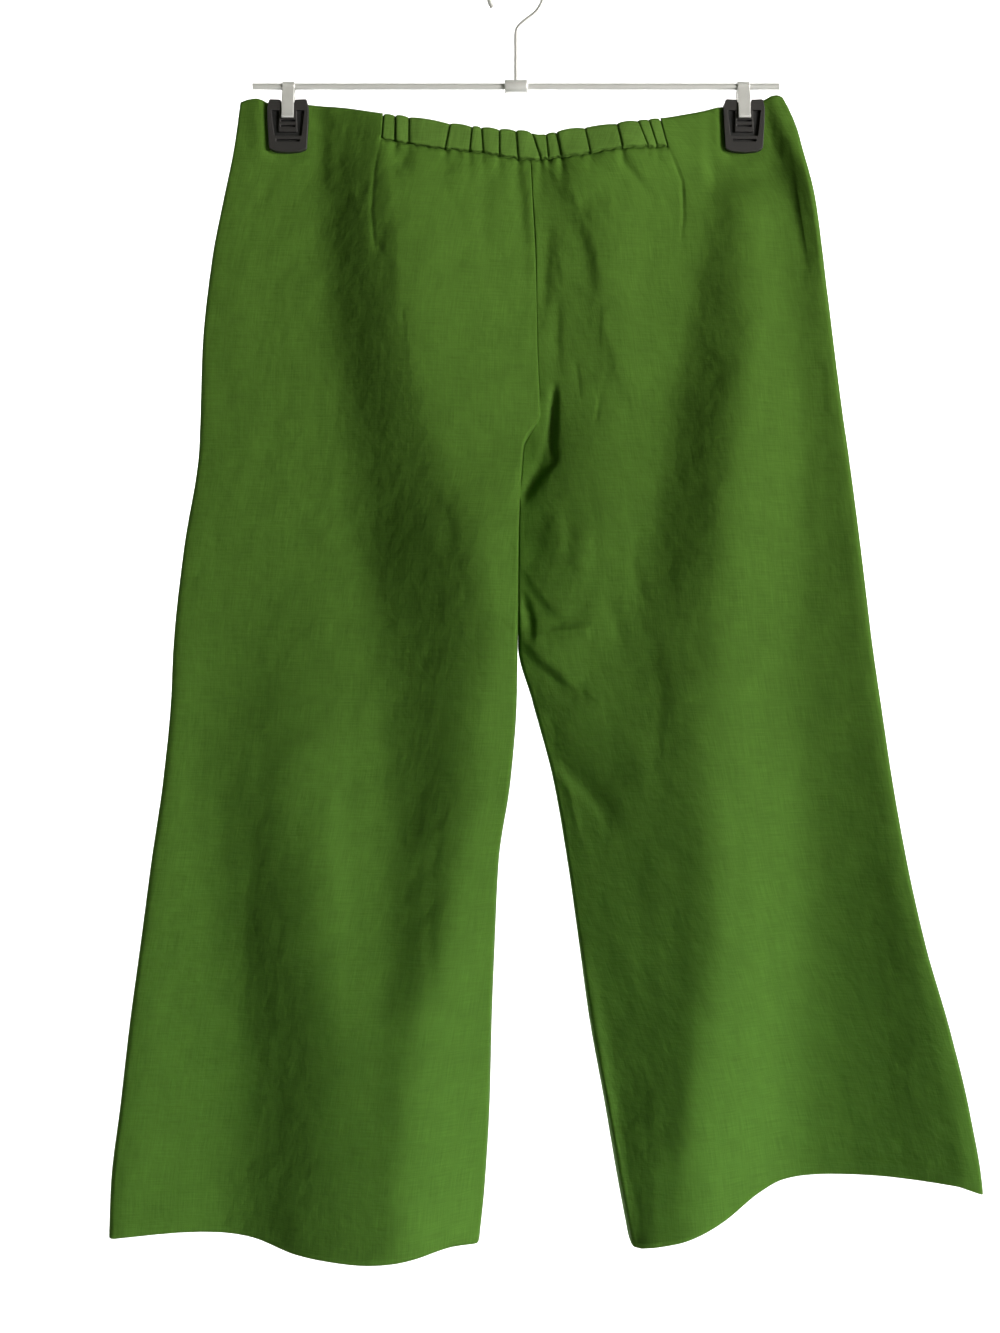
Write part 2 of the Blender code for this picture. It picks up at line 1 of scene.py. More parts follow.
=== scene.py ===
"""The looks of the kick flare trousers on their clip hanger.

The cloth is rebuilt as fine thin shells, from tables like its solids' but fitted a few
millimetres more finely: drops below the waist at the clips, and depths from the plane of
the side seams, in millimetres. The creases on it are strokes, placed one by one.
"""
from math import cos, pi, radians, sin

import bmesh
import bpy
import numpy as np
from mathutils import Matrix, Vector


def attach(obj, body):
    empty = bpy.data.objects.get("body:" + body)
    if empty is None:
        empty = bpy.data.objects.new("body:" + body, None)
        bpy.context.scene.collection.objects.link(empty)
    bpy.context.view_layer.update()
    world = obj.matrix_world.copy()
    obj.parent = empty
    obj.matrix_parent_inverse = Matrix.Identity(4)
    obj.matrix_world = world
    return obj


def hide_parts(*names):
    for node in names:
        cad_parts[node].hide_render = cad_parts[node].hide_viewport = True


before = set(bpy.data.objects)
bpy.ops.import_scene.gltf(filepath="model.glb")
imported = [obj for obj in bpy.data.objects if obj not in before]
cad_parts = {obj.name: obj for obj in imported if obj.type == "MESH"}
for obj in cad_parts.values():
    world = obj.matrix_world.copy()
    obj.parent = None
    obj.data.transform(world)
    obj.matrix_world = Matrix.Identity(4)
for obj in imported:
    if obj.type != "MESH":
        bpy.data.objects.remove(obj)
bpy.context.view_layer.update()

MM = 0.001
BODY = "root"

# ---- named sizes
# The hanger, its clips and the pinched waist have their solids' own sizes.
HOOK_INNER_RADIUS = 20.0
HOOK_WIRE = 3.6
BAR_DIAMETER = 5.0
BAR_HALF_LENGTH = 206.0
BAR_Z = -93.0
FERRULE_LENGTH = 18.0
FERRULE_DIAMETER = 10.0
CLIP_SPACING = 355.5
CLIP_WIDTH = 32.0
CLIP_HEIGHT = 41.5
CLIP_THICKNESS = 4.0
CLIP_NOTCH_WIDTH = 10.0
CLIP_NOTCH_DEPTH = 3.0
CLIP_TOP_DROP = -1.6
SPRING_WIDTH = 9.4
SPRING_THICKNESS = 0.8
SPRING_END_DROP = 13.5
WAIST_Z = -106.5
GAP = 0.3
PINCH_DEPTH = 1.6
PINCH_HALF_WIDTH = CLIP_WIDTH / 2 + 5.0
PINCH_FADE = 14.0
PINCH_DROP = 50.0
PINCH_DROP_FADE = 30.0
# Between these drops the rows of the cloth's grid are level.
FIRST_LEVEL_ROW = 62.0
LAST_LEVEL_ROW = 790.0

# Back, left half. From the side seam inwards the depth passes an outer valley, a ridge, a
# trough and a crest, to the edge at the centre seam or inseam, which turns in to centre_d.
LEFT_FOLDS = ("side", "valley", "ridge", "trough", "crest", "edge")
LEFT_COLUMNS = ("drop side_x side_d valley_x valley_d ridge_x ridge_d trough_x trough_d "
                "crest_x crest_d edge_d edge_x centre_d").split()
LEFT_SECTIONS = (
    (-6, -215, 2.2, -204, 2.2, -178, 1.6, -153, 3, -101, 10, 13, 11, 13),
    (36, -221, 2.4, -205, 2.4, -178, 1.8, -159, 2.6, -101, 16, 15, 11, 14.8),
    (75, -229, 3.2, -207, 4, -180, 4, -158, 4, -101, 23, 15, 12.5, 14.8),
    (122, -238, 4, -207, 5, -180, 5, -154, 6, -92, 28, 16, 15, 15.4),
    (193, -245.5, 5, -211, 6, -176, 6, -149, 7, -80, 31, 18, 16.5, 15.6),
    (245, -247, 6, -214, 6.5, -176, 7, -146, 7, -65, 32, 22, 18.5, 11.5),
    (271, -248, 6, -215, 7, -176, 7, -143, 7, -57, 32, 26, 6, 5),
    (349, -260, 6, -220, 6, -168, 6, -133, 6, -26, 42, 36, 2, 3),
    (424, -268, 7, -227, 5, -153, 11, -115, 10, -19, 36, 30, 1.5, 0.15),
    (467, -270, 7, -235, 4, -149, 14, -110, 13, -29, 33, 25, 0.8, 0.15),
    (529, -276, 8, -243, 4, -168, 18, -104, 11, -33, 30, 24, -4, 0.15),
    (592, -285, 10, -241, 4, -154, 24, -101, 15, -46, 28, 18, -13.3, 0.15),
    (655, -293, 12, -234, 6.5, -146, 32, -101, 27, -57, 37, 19, -16.4, 0.15),
    (717, -301, 15, -229, 8, -131, 37.5, -105, 38.5, -79, 42, 19, -18.8, 0.15),
    (780, -308, 17, -227, 9.5, -134, 39, -104, 43, -88, 45, 18, -20.4, 0.15),
    (842, -315, 19, -228, 11, -146, 38, -115, 45, -93, 47.5, 16, -24, 0.15),
    (892, -316.5, 20, -229, 12, -148, 40, -116, 47, -93, 49.5, 15, -29, 0.15),
)

# Back, right half: from the centre seam outwards a swell, a trough, the long ridge that
# hangs from the clip, and an outer valley, to the side seam.
RIGHT_FOLDS = ("edge", "swell", "trough", "ridge", "valley", "side")
RIGHT_COLUMNS = ("drop edge_x centre_d edge_d swell_x swell_d trough_x trough_d "
                 "ridge_x ridge_d valley_x valley_d side_d side_x").split()
RIGHT_SECTIONS = (
    (-6, 11, 13, 13, 90, 12, 152, 4, 178, 1.6, 194, 2.2, 2.2, 208),
    (4, 11, 13, 13, 90, 12, 152, 4, 178, 1.6, 195, 2.2, 2.4, 213.5),
    (20, 11, 14, 14, 84, 14, 153, 4, 178, 1.6, 195, 2.3, 4, 220),
    (36, 11, 14.8, 15, 74, 17, 152, 5, 178, 2, 197, 2.6, 7, 224),
    (75, 12.5, 14.8, 15, 66, 20, 146, 9, 177, 12, 208, 7, 13, 233),
    (122, 15, 15.4, 16, 72, 20, 139, 14, 173, 21, 213, 12, 17, 239),
    (193, 16.5, 15.6, 15.6, 72, 19, 125, 15, 176, 28, 218, 18, 22, 247),
    (245, 18.5, 11.5, 11.5, 68, 19, 116, 16, 168, 32, 226, 16, 20, 254),
    (271, 6, 5, 5.5, 66, 20, 112, 17, 165, 33, 228, 15, 19, 258),
    (349, 2, 3, 7, 66, 19, 99, 18, 156, 34, 226, 14, 20, 268),
    (424, 1.5, 0.15, 9, 56, 17, 88, 19, 148, 31, 222, 13, 20, 277),
    (467, 12.5, 0.15, 8, 60, 20, 94, 26, 142, 36, 221, 13, 21, 283),
    (529, 29, 0.15, 7, 70, 20, 104, 30, 143, 38, 228, 10, 23, 292),
    (592, 40, 0.15, 7, 82, 20, 114, 30, 148, 39, 229, 7, 25, 303),
    (655, 49, 0.15, 8, 90, 22, 118, 29.5, 150, 37.5, 230, 5.5, 31, 316),
    (717, 57.5, 0.15, 12, 97, 27, 113, 33, 140, 40, 228, 5, 35, 333),
    (780, 69, 0.15, 17, 97, 29.5, 109, 34.5, 131, 41.5, 226, 5, 40, 347),
    (842, 79.6, 0.15, 24, 98, 33, 106, 36, 128, 40.5, 224, 5, 43, 356),
    (892, 89, 0.15, 25, 100, 33.5, 107, 36.5, 128, 41, 224, 5, 44, 357),
)

# Front, both halves: the depth at the side, its general fullness, the swing of its soft
# folds about that, and the depth of the centre seam.
FRONT_COLUMNS = ("drop", "side_d", "full_d", "swing", "centre_d")
FRONT_SECTIONS = (
    (-6, 2.2, 9, 0, 8.5),
    (36, 2.4, 11, 0.4, 10.4),
    (122, 5, 14, 2, 13),
    (245, 7, 18, 4, 15),
    (349, 9, 20, 5, 9),
    (400, 10, 21, 5, 3.5),
    (424, 10, 21, 5, 0.15),
    (592, 12, 25, 6, 0.15),
    (892, 16, 30, 9, 0.15),
)
# Each soft fold's place from side to centre, and its share of the swing. They lean across by
# this share of the width.
FRONT_FOLDS = ((0.27, 1.0), (0.52, -1.0), (0.78, 0.8))
FRONT_FOLD_SLANT = 0.10

# Edges across the width: where the waist, the casing's seam and the hems run.
WAIST_LINE = ((-216, -0.5), (-211, -2.8), (-205, -3.2), (-200, -2.4), (-193, 0), (-163, 1.2),
              (-150, 2.6), (-135, 5), (-103, 12), (-76, 16), (-52, 20), (-34, 22.6), (-12, 25),
              (10, 27), (17, 29.4), (24, 28.6), (32, 27), (43, 24.8), (60, 22.8), (78, 20),
              (95, 17.5), (112, 15), (136, 9.5), (178, 0), (190, -1), (200, -5), (205, -5.8),
              (209, -4.5))
SEAM_LINE = ((-104.4, 33), (-66, 40), (-28, 43.6), (11, 49), (42, 46.7), (80, 40.5), (118, 37))
LEFT_HEM = ((-316, 881), (-250, 878), (-205, 880), (-165, 887), (-118, 889), (-75, 885),
            (-50, 882.5), (-29, 885))
RIGHT_HEM = ((89, 883), (122, 874), (155, 862), (188, 846), (210, 839), (250, 835),
             (300, 833), (335, 834), (356, 840))
# The height, rate and phase of each wave in the casing's seam
SEAM_WAVES = ((0.35, 0.55, 0.0), (0.25, 1.3, 1.0))
# The darts, as (drop, x). Their last two points carry the line on below them.
LEFT_DART = ((12, -103.2), (33, -104.4), (56, -108.5), (91, -111), (118, -108.5), (128, -106),
             (424, -110), (892, -130))
RIGHT_DART = ((15, 112), (37, 118), (53, 124.5), (64, 129), (90, 130), (111, 128),
              (424, 140), (892, 205))

# The casing's creases: x at the waist's edge, x at the casing's seam, and depth
CREASES = (
    (-93.5, -93.5, 2.6), (-83, -83, 1.6), (-51, -55, 1.6), (-34, -36, 1.9), (-27, -25.5, 1.7),
    (-13, -13, 1.7), (0, 1.5, 2.0), (12, 19, 2.6), (23, 25, 1.5), (31, 35, 2.7),
    (53, 57, 1.3), (78, 82, 1.8), (94, 102, 1.6), (102.5, 109, 1.7),
)
CREASE_WIDTH = 3.4
# Below the seam a crease is shallower, widens as it runs down, and fades, a deep one later.
GATHER_SHARE = 0.75
GATHER_WIDTH_SHARE = 0.6
GATHER_WIDENING = 30.0
GATHER_FADE = 16.0
GATHER_FADE_SHARE = 0.35
GATHER_DEEP = 2.4
# The stitched groove under the casing, whose depth swings from gather to gather
SEAM_GROOVE = 1.6
SEAM_GROOVE_SWING = 0.5
SEAM_GROOVE_RATE = 0.8
SEAM_GROOVE_WIDTH = 2.2
# The hollows reach this far beyond the seam's ends, and this far above it.
GATHER_MARGIN = 0.1
GATHER_RISE = 0.5
# The columns beside a dart's line are this far from it.
DART_GROOVE = 1.1
# The panel lines beside a clip: upright down to this drop, and round this x at the hem
CLIP_LINE_START = PINCH_DROP + 12.0
CLIP_LINE_HEM = {-1: 215.0, 1: 268.0}
CLIP_LINE_SPREAD = 30.0

# What the shells add: real cloth is thinner than the solids' walls.
CLOTH = 0.7
CASING_CLOTH = 1.6
SEAM_GAP = 0.12
# The front's centre seam lies this far beside the back's, so nothing shows through both. It
# comes back from this drop, over this length.
SEAM_SHIFT = 1.6
SEAM_SHIFT_DROP = 320.0
SEAM_SHIFT_FADE = 80.0
WAIST_ROLL = 1.0
WAIST_ROLL_WIDTH = 1.6
HEM_TURN_UP = 10.0
HEM_GROOVE = 0.35
HEM_GROOVE_WIDTH = 1.8
# The edge beside a side seam turns in over this width, and less where the cloth lies flat.
SIDE_TURN = 7.0
SIDE_TURN_DEPTH = 1.6
# The edge beside the centre seam: the back's turns in over more below this drop.
FRONT_CENTRE_TURN = 8.0
BACK_CENTRE_TURN = 1.2
INSEAM_TURN = 2.0
INSEAM_TURN_DROP = 380.0
INSEAM_TURN_FADE = 50.0
# Rows are twice as dense down to this drop, where most creases are.
CREASED_DROP = 484.0
BACK_PITCH = 2.2
FRONT_PITCH = 3.0
CROTCH_DROP = 424.0
# The centre seam sinks this much deeper down to the crotch.
SEAM_DIP = 0.6

# The camera, and the photograph's height in pixels and its millimetres a pixel
CAMERA_X = -12.5
CAMERA_DISTANCE = 1050.0
CAMERA_DROP = 440.4
SENSOR = 36.0
PHOTO_SCALE = 0.783
PHOTO_HEIGHT = 1333


# ---- curves and tables

def curve_through(places, values, at):
    """Smooth curves through (place, value) stops along the last axis, read at at."""
    at = np.asarray(at, float)
    shape = at.shape + np.shape(places)[-1:]
    places, values = (np.broadcast_to(np.asarray(v, float), shape) for v in (places, values))
    steps = np.diff(places, axis=-1)
    secants = np.diff(values, axis=-1) / steps
    before, after = secants[..., :-1], secants[..., 1:]
    same = before * after > 0
    inner = np.where(same, 2 * before * after / np.where(same, before + after, 1), 0)
    slopes = np.concatenate([secants[..., :1], inner, secants[..., -1:]], axis=-1)
    held = np.clip(at, places[..., 0], places[..., -1])
    k = (held[..., None] >= places[..., 1:-1]).sum(-1)[..., None]

    def pick(array, index):
        return np.take_along_axis(array, index, -1)[..., 0]

    step = pick(steps, k)
    t = (held - pick(places, k)) / step
    return (pick(values, k) * (1 + 2 * t) * (1 - t) ** 2
            + pick(values, k + 1) * t * t * (3 - 2 * t)
            + pick(slopes, k) * step * t * (1 - t) ** 2
            - pick(slopes, k + 1) * step * t * t * (1 - t))


def along(points, at):
    """The smooth curve through a list of (place, value) points."""
    points = np.array(points, float)
    return curve_through(points[:, 0], points[:, 1], at)


def step_up(t):
    """From 0 to 1 with level ends."""
    t = np.clip(t, 0.0, 1.0)
    return t * t * (3 - 2 * t)


def bell(t):
    return np.exp(-t ** 2)


def reader(columns, rows):
    """A function that reads a table's column, by its name, at any drop."""
    rows = np.array(rows, float)
    return lambda name, drop: curve_through(rows[:, 0], rows[:, columns.index(name)], drop)


left = reader(LEFT_COLUMNS, LEFT_SECTIONS)
right = reader(RIGHT_COLUMNS, RIGHT_SECTIONS)
front = reader(FRONT_COLUMNS, FRONT_SECTIONS)


# ---- the cloth's form

def pinch(x, drop):
    """1 where a clip holds the cloth, fading to 0 around it."""
    off = np.abs(np.abs(x) - CLIP_SPACING / 2) - PINCH_HALF_WIDTH
    return (1 - step_up(off / PINCH_FADE)) * (1 - step_up((drop - PINCH_DROP) / PINCH_DROP_FADE))


def seam_line(x):
    """The casing's seam, slightly uneven from the gathers in it."""
    line = along(SEAM_LINE, x)
    for height, rate, phase in SEAM_WAVES:
        line = line + height * np.sin(rate * x + phase)
    return line


def gather(x, drop):
    """Depth that the casing's creases and its seam take from the cloth below."""
    below = drop - seam_line(x)
    run = np.maximum(below, 0)
    dip = 0
    for _, seam_x, depth in CREASES:
        reach = GATHER_FADE * (GATHER_FADE_SHARE + depth / GATHER_DEEP)
        away = (x - seam_x) / (CREASE_WIDTH * (GATHER_WIDTH_SHARE + run / GATHER_WIDENING))
        dip = dip + depth * bell(away) * np.exp(-run / reach)
    groove = SEAM_GROOVE + SEAM_GROOVE_SWING * np.sin(SEAM_GROOVE_RATE * x)
    dip = GATHER_SHARE * dip + groove * bell(below / SEAM_GROOVE_WIDTH)
    inside = (x > SEAM_LINE[0][0] - GATHER_MARGIN) & (x < SEAM_LINE[-1][0] + GATHER_MARGIN)
    return np.where(inside & (below > -GATHER_RISE), dip, 0)


def edges(side, drop, is_back):
    """Where a panel ends at the side seam and at the centre seam or inseam."""
    read = left if side < 0 else right
    centre_x = read("edge_x", drop) + side * SEAM_GAP / 2
    if not is_back:
        centre_x = centre_x + SEAM_SHIFT * (1 - step_up((drop - SEAM_SHIFT_DROP) / SEAM_SHIFT_FADE))
    return read("side_x", drop), centre_x


def fold_depth(side, x, drop):
    """Depth of the back's broad folds."""
    read, names = (left, LEFT_FOLDS) if side < 0 else (right, RIGHT_FOLDS)
    places = [read(name + "_x", drop) for name in names]
    values = [read(name + "_d", drop) for name in names]
    return curve_through(np.stack(places, -1), np.stack(values, -1), x)


def back_depth(side, x, drop):
    """Depth of the back's outer face."""
    depth = fold_depth(side, x, drop) - gather(x, drop)
    depth = depth + (PINCH_DEPTH - depth) * pinch(x, drop)
    return depth + strokes_depth(BACK_STROKES, x, drop) - edge_roll(side, x, drop)


def edge_roll(side, x, drop):
    """The waist's edge is folded over, and the hem is turned up and stitched."""
    hem = along(LEFT_HEM if side < 0 else RIGHT_HEM, x)
    waist = along(WAIST_LINE, x)
    roll = WAIST_ROLL * bell((drop - waist) / WAIST_ROLL_WIDTH) * (1 - pinch(x, drop))
    return roll + HEM_GROOVE * bell((hem - HEM_TURN_UP - drop) / HEM_GROOVE_WIDTH)


def front_depth(side, x, drop):
    """Depth of the front's outer face."""
    side_x, centre_x = edges(side, drop, False)
    across = (x - side_x) / (centre_x - side_x)
    lean = FRONT_FOLD_SLANT * (drop / LAST_LEVEL_ROW - 0.5)
    places = [np.zeros_like(drop)] + [place + side * lean for place, _ in FRONT_FOLDS]
    places += [np.ones_like(drop)]
    full, swing = front("full_d", drop), front("swing", drop)
    values = [front("side_d", drop)] + [full + share * swing for _, share in FRONT_FOLDS]
    values += [full]
    depth = curve_through(np.stack(places, -1), np.stack(values, -1), across)
    depth = depth + (PINCH_DEPTH - depth) * pinch(x, drop)
    return depth + strokes_depth(FRONT_STROKES, x, drop) - edge_roll(side, x, drop)


def side_turn(depth):
    """How wide the edge beside the side seam turns in."""
    return np.minimum(SIDE_TURN, depth * depth / SIDE_TURN_DEPTH)


def centre_turn(drop, is_back):
    """How wide the edge beside the centre seam turns in. It is crisp where two halves meet."""
    if not is_back:
        return np.full_like(drop, FRONT_CENTRE_TURN)
    return BACK_CENTRE_TURN + INSEAM_TURN * step_up((drop - INSEAM_TURN_DROP) / INSEAM_TURN_FADE)


# ---- creases
# A stroke is (height, width on its left, width on its right, points), as it runs down the
# page. It sinks where the height is negative. The points are (x, drop) in millimetres.
BACK_STROKES = (
    # The ridge of the centre seam
    (0.9, 5, 9, ((10, 56), (11, 73), (12, 100), (14, 129), (15, 158))),
    # The band that falls from the tuck beside the seam
    (2.4, 6, 26, ((31, 56), (38, 73), (49, 87))),
    (3.2, 6, 30, ((49, 92), (57, 108), (63, 126), (65, 145), (65, 158))),
    # Soft furrows between the seam and the band
    (-1.6, 7, 4, ((25, 98), (23, 134), (22, 155), (21, 172))),
    (0.8, 2.5, 9, ((32, 117), (35, 134), (38, 148))),
    (-1.4, 6, 3.5, ((31, 155), (32, 170), (31, 188), (33, 207), (35, 216))),
    # The band goes on, softer
    (2.2, 8, 22, ((60, 167), (69, 181), (77, 198), (81, 214), (84, 226))),
    # Two thin creases
    (-0.7, 2.6, 1.2, ((46, 204), (48, 219), (50, 233))),
    (-0.7, 1.2, 2.6, ((64, 230), (63, 240), (61, 253))),
    # The pocket beside the crotch, and the small fold in it
    (-5, 3.6, 2.6, ((30, 224), (29, 242), (28, 265), (29, 282))),
    (-1.8, 9, 7, ((25, 231), (23, 257), (18, 282), (9, 299))),
    (-3.0, 5, 3.2, ((30, 279), (19, 291), (10, 303), (4, 313))),
    (-2.6, 8, 7, ((25, 262), (17, 284), (9, 303), (4, 321))),
    (1.6, 4, 5, ((18, 258), (17, 273), (13, 287))),
    # The right leg's folds below the crotch
    (2.4, 11, 7, ((31, 321), (32, 339), (30, 357))),
    (2.6, 12, 9, ((49, 334), (50, 351), (46, 369))),
    (2.4, 3.5, 26, ((6, 363), (15, 377), (28, 394), (39, 405))),
    (2.4, 16, 4, ((22, 415), (38, 412), (58, 413))),
    (-1.8, 2.2, 4, ((28, 408), (42, 408), (55, 406))),
    # The hollow where the fold starts, and the overhanging fold
    (-3.4, 5, 3, ((4, 383), (8, 392), (12, 406), (11, 420))),
    (6.4, 4.6, 16, ((1, 415), (11, 424), (19, 433), (31, 443), (40, 451), (48, 457))),
    (1.6, 15, 5, ((0, 424), (6, 433), (15, 443), (26, 453), (36, 460), (45, 466))),
    (2.4, 18, 7, ((13, 464), (28, 469), (41, 472), (70, 471))),
    # The hollow down the inner leg
    (-4, 5, 12, ((19, 499), (29, 511), (40, 523), (52, 534), (64, 547), (73, 563))),
    (0.8, 2, 5, ((29, 517), (36, 530), (44, 540))),
    (0.8, 3, 3, ((27, 507), (39, 528), (45, 553), (53, 584))),
    # Small creases
    (-0.7, 2, 2, ((17, 470), (22, 475))),
    (-0.5, 3, 2, ((25, 480), (29, 488), (32, 497))),
    # Tucks under the casing's seam
    (-1.9, 4, 3.4, ((79, 44), (85, 54), (93, 63), (100, 72))),
    (-1, 5, 3, ((61, 43), (62, 49))),
    (-1, 3, 3, ((-41, 46), (-32, 48), (-23, 50))),
    (-1, 4, 4, ((-101, 39), (-94, 41), (-86, 44))),
    (-0.9, 3, 3, ((-65, 57), (-56, 58), (-47, 57))),
    (-1, 3, 3, ((-89, 52), (-85, 57))),
    (-1.2, 7, 4, ((-3, 53), (1, 61), (4, 80), (5, 105), (8, 119))),
    (-1, 5, 5, ((66, 388), (76, 402), (82, 428))),
    (-1, 5, 5, ((94, 330), (90, 362), (97, 396))),
    (-1, 6, 6, ((104, 430), (110, 470), (105, 520))),
    # The darts' stitched lines
    (-0.9, 1.0, 1.0, tuple((x, drop) for drop, x in LEFT_DART[1:6])),
    (-1.3, 1.6, 0.9, tuple((x, drop) for drop, x in RIGHT_DART[1:6])),
    # The seat's brow beside the left dart
    (3.2, 10, 48, ((-101, 22), (-97, 60), (-90, 110), (-86, 160))),
    # Left seat
    (-1.3, 6, 6, ((-160, 10), (-150, 16), (-140, 24))),
    (-0.8, 4, 4, ((-192, 62), (-198, 80))),
    (-1.5, 4, 4, ((-89, 44), (-86, 56))),
    (-1.0, 4, 4, ((-117, 66), (-120, 80))),
    (-1.2, 3, 3, ((-107, 115), (-103, 124))),
    (-1.1, 2, 2, ((-57, 43), (-47, 46), (-38, 50))),
    (-0.8, 5, 5, ((-60, 70), (-48, 84), (-40, 104))),
    (-1.0, 6, 6, ((-20, 60), (-26, 90), (-22, 130))),
    (-0.9, 5, 5, ((-38, 250), (-24, 262), (-8, 272))),
    (-1.0, 6, 6, ((-70, 300), (-52, 330), (-48, 372))),
    # The crease of the packing across both legs
    (-0.8, 4, 4, ((-266, 462), (-199, 465), (-121, 462), (-66, 464), (-20, 467))),
    (-0.8, 4, 4, ((60, 469), (139, 467), (203, 465), (262, 462))),
    # Left leg, long and faint
    (-1.0, 8, 8, ((-196, 500), (-206, 600), (-214, 730))),
    (-0.9, 7, 7, ((-128, 480), (-131, 560), (-124, 650))),
    (-0.8, 6, 6, ((-60, 560), (-66, 640), (-62, 720))),
    (0.8, 6, 6, ((-252, 560), (-262, 680), (-272, 800))),
    # Right leg: the rolled inner edge, and faint ones
    (4.0, 6.5, 6.5, ((52, 660), (62, 730), (72, 800), (82, 862), (88, 886))),
    (-0.9, 8, 8, ((92, 590), (96, 650), (106, 720))),
    (-0.9, 4, 4, ((160, 520), (168, 580), (166, 650))),
    (-1.1, 6, 6, ((188, 600), (200, 700), (206, 800))),
    (-0.9, 5, 5, ((262, 560), (276, 650), (292, 740))),
    (0.8, 5, 5, ((300, 700), (316, 780), (330, 830))),
    # The flap beyond the right clip stands up along its outer edge
    (4.5, 5, 8, ((196, -14), (206, 17), (212, 33), (218, 48), (224, 67), (229, 87), (231, 106),
                 (234, 135))),
    (-1.0, 4, 3, ((190, -8), (199, 17), (205, 32), (212, 46))),
    (-3.0, 5, 4, ((210, 42), (217, 67), (221, 87), (225, 110), (228, 140))),
    # The cloth swells beside each clip's left edge and under its foot
    (2.8, 9, 3.4, ((-200, -14), (-199, 14), (-198, 34), (-195, 52))),
    (2.8, 9, 3.4, ((156, -12), (157, 14), (158, 34), (161, 52))),
    (1.6, 8, 3, ((-192, 47), (-178, 51), (-164, 47))),
    (1.6, 8, 3, ((165, 47), (178, 51), (190, 47))),
    (-0.7, 3.5, 3.5, ((216, 250), (222, 300), (218, 352))),
    (-0.7, 3.5, 3.5, ((238, 120), (243, 170), (240, 220))),
)

# The front shows nowhere in the photograph. Its soft folds are of the back's kind and size.
FRONT_STROKES = (
    (-3.4, 5, 5, ((-2, 402), (-20, 386), (-44, 372), (-66, 366))),
    (-2.8, 5, 5, ((4, 404), (24, 392), (48, 384), (74, 382))),
    (1.8, 6, 6, ((-6, 382), (-26, 366), (-50, 352))),
    (1.8, 6, 6, ((6, 386), (28, 372), (54, 362))),
    (-1.8, 5, 5, ((0, 424), (-16, 442), (-40, 462))),
    (-1.8, 5, 5, ((6, 430), (22, 450), (46, 466))),
    (-1.4, 6, 6, ((-148, 40), (-136, 80), (-120, 130), (-112, 190))),
    (-1.4, 6, 6, ((150, 44), (140, 84), (126, 140), (120, 196))),
    (-1.1, 5, 5, ((-70, 30), (-66, 70), (-72, 120))),
    (-1.1, 5, 5, ((62, 28), (60, 64), (66, 124))),
    (-1.0, 7, 7, ((-180, 230), (-172, 300), (-180, 380))),
    (-1.0, 7, 7, ((186, 240), (180, 310), (186, 390))),
    (-0.9, 4, 4, ((-262, 464), (-190, 466), (-110, 463), (-30, 466))),
    (-0.9, 4, 4, ((40, 467), (120, 465), (200, 467), (270, 463))),
    (-1.1, 6, 6, ((-90, 520), (-98, 600), (-92, 680))),
    (-1.1, 6, 6, ((122, 530), (130, 610), (138, 700))),
    (-1.0, 7, 7, ((-230, 560), (-240, 660), (-236, 760))),
    (-1.0, 7, 7, ((240, 560), (254, 660), (266, 770))),
)

# A stroke reaches this many of its widths. Its height fades towards its ends, but no further
# than it has at this share of its length.
STROKE_REACH = 3.0
STROKE_END = 0.02


def stroke_depth(stroke, x, drop):
    """The depth that one stroke adds near its line."""
    height, left_width, right_width, points = stroke
    points = np.array(points, float)
    lengths = np.hypot(*np.diff(points, axis=0).T)
    total, run = lengths.sum(), 0.0
    best = np.full(x.shape, np.inf)
    width, place = np.ones(x.shape), np.zeros(x.shape)
    for (ax, ay), (bx, by), length in zip(points, points[1:], lengths):
        ux, uy = (bx - ax) / length, (by - ay) / length
        t = np.clip((x - ax) * ux + (drop - ay) * uy, 0, length)
        dx, dy = x - ax - t * ux, drop - ay - t * uy
        far = np.hypot(dx, dy)
        nearer = far < best
        best = np.where(nearer, far, best)
        width = np.where(nearer, np.where(dx * uy < dy * ux, left_width, right_width), width)
        place = np.where(nearer, (run + t) / total, place)
        run += length
    ends = np.sqrt(np.sin(np.pi * np.clip(place, STROKE_END, 1 - STROKE_END)))
    return height * ends * bell(best / width)


def strokes_depth(strokes, x, drop):
    """The depth that all the strokes add."""
    x, drop = np.broadcast_arrays(x, drop)
    total = np.zeros(x.shape)
    for stroke in strokes:
        reach = STROKE_REACH * max(stroke[1], stroke[2])
        low_x, low_drop = np.min(stroke[3], axis=0) - reach
        high_x, high_drop = np.max(stroke[3], axis=0) + reach
        near = (x > low_x) & (x < high_x) & (drop > low_drop) & (drop < high_drop)
        if near.any():
            total[near] += stroke_depth(stroke, x[near], drop[near])
    return total


# ---- pieces

def mesh_object(name, verts, faces, material):
    mesh = bpy.data.meshes.new(name)
    mesh.from_pydata(verts, [], faces)
    mesh.materials.append(material)
    mesh.shade_smooth()
    return bpy.data.objects.new(name, mesh)


def face_out(obj):
    """Turn all faces the same way round, outwards on a closed form."""
    bm = bmesh.new()
    bm.from_mesh(obj.data)
    bmesh.ops.recalc_face_normals(bm, faces=bm.faces)
    bm.to_mesh(obj.data)
    bm.free()


def put(obj):
    bpy.context.scene.collection.objects.link(obj)


def put_piece(obj, node):
    """Put a piece in the scene, in the place of its node."""
    put(obj)
    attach(obj, BODY)
    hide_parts(node)


def add_wall(obj, thickness):
    """Give a sheet its thickness, behind its outer face."""
    wall = obj.modifiers.new("wall", "SOLIDIFY")
    wall.thickness = thickness * MM
    wall.offset = -1.0


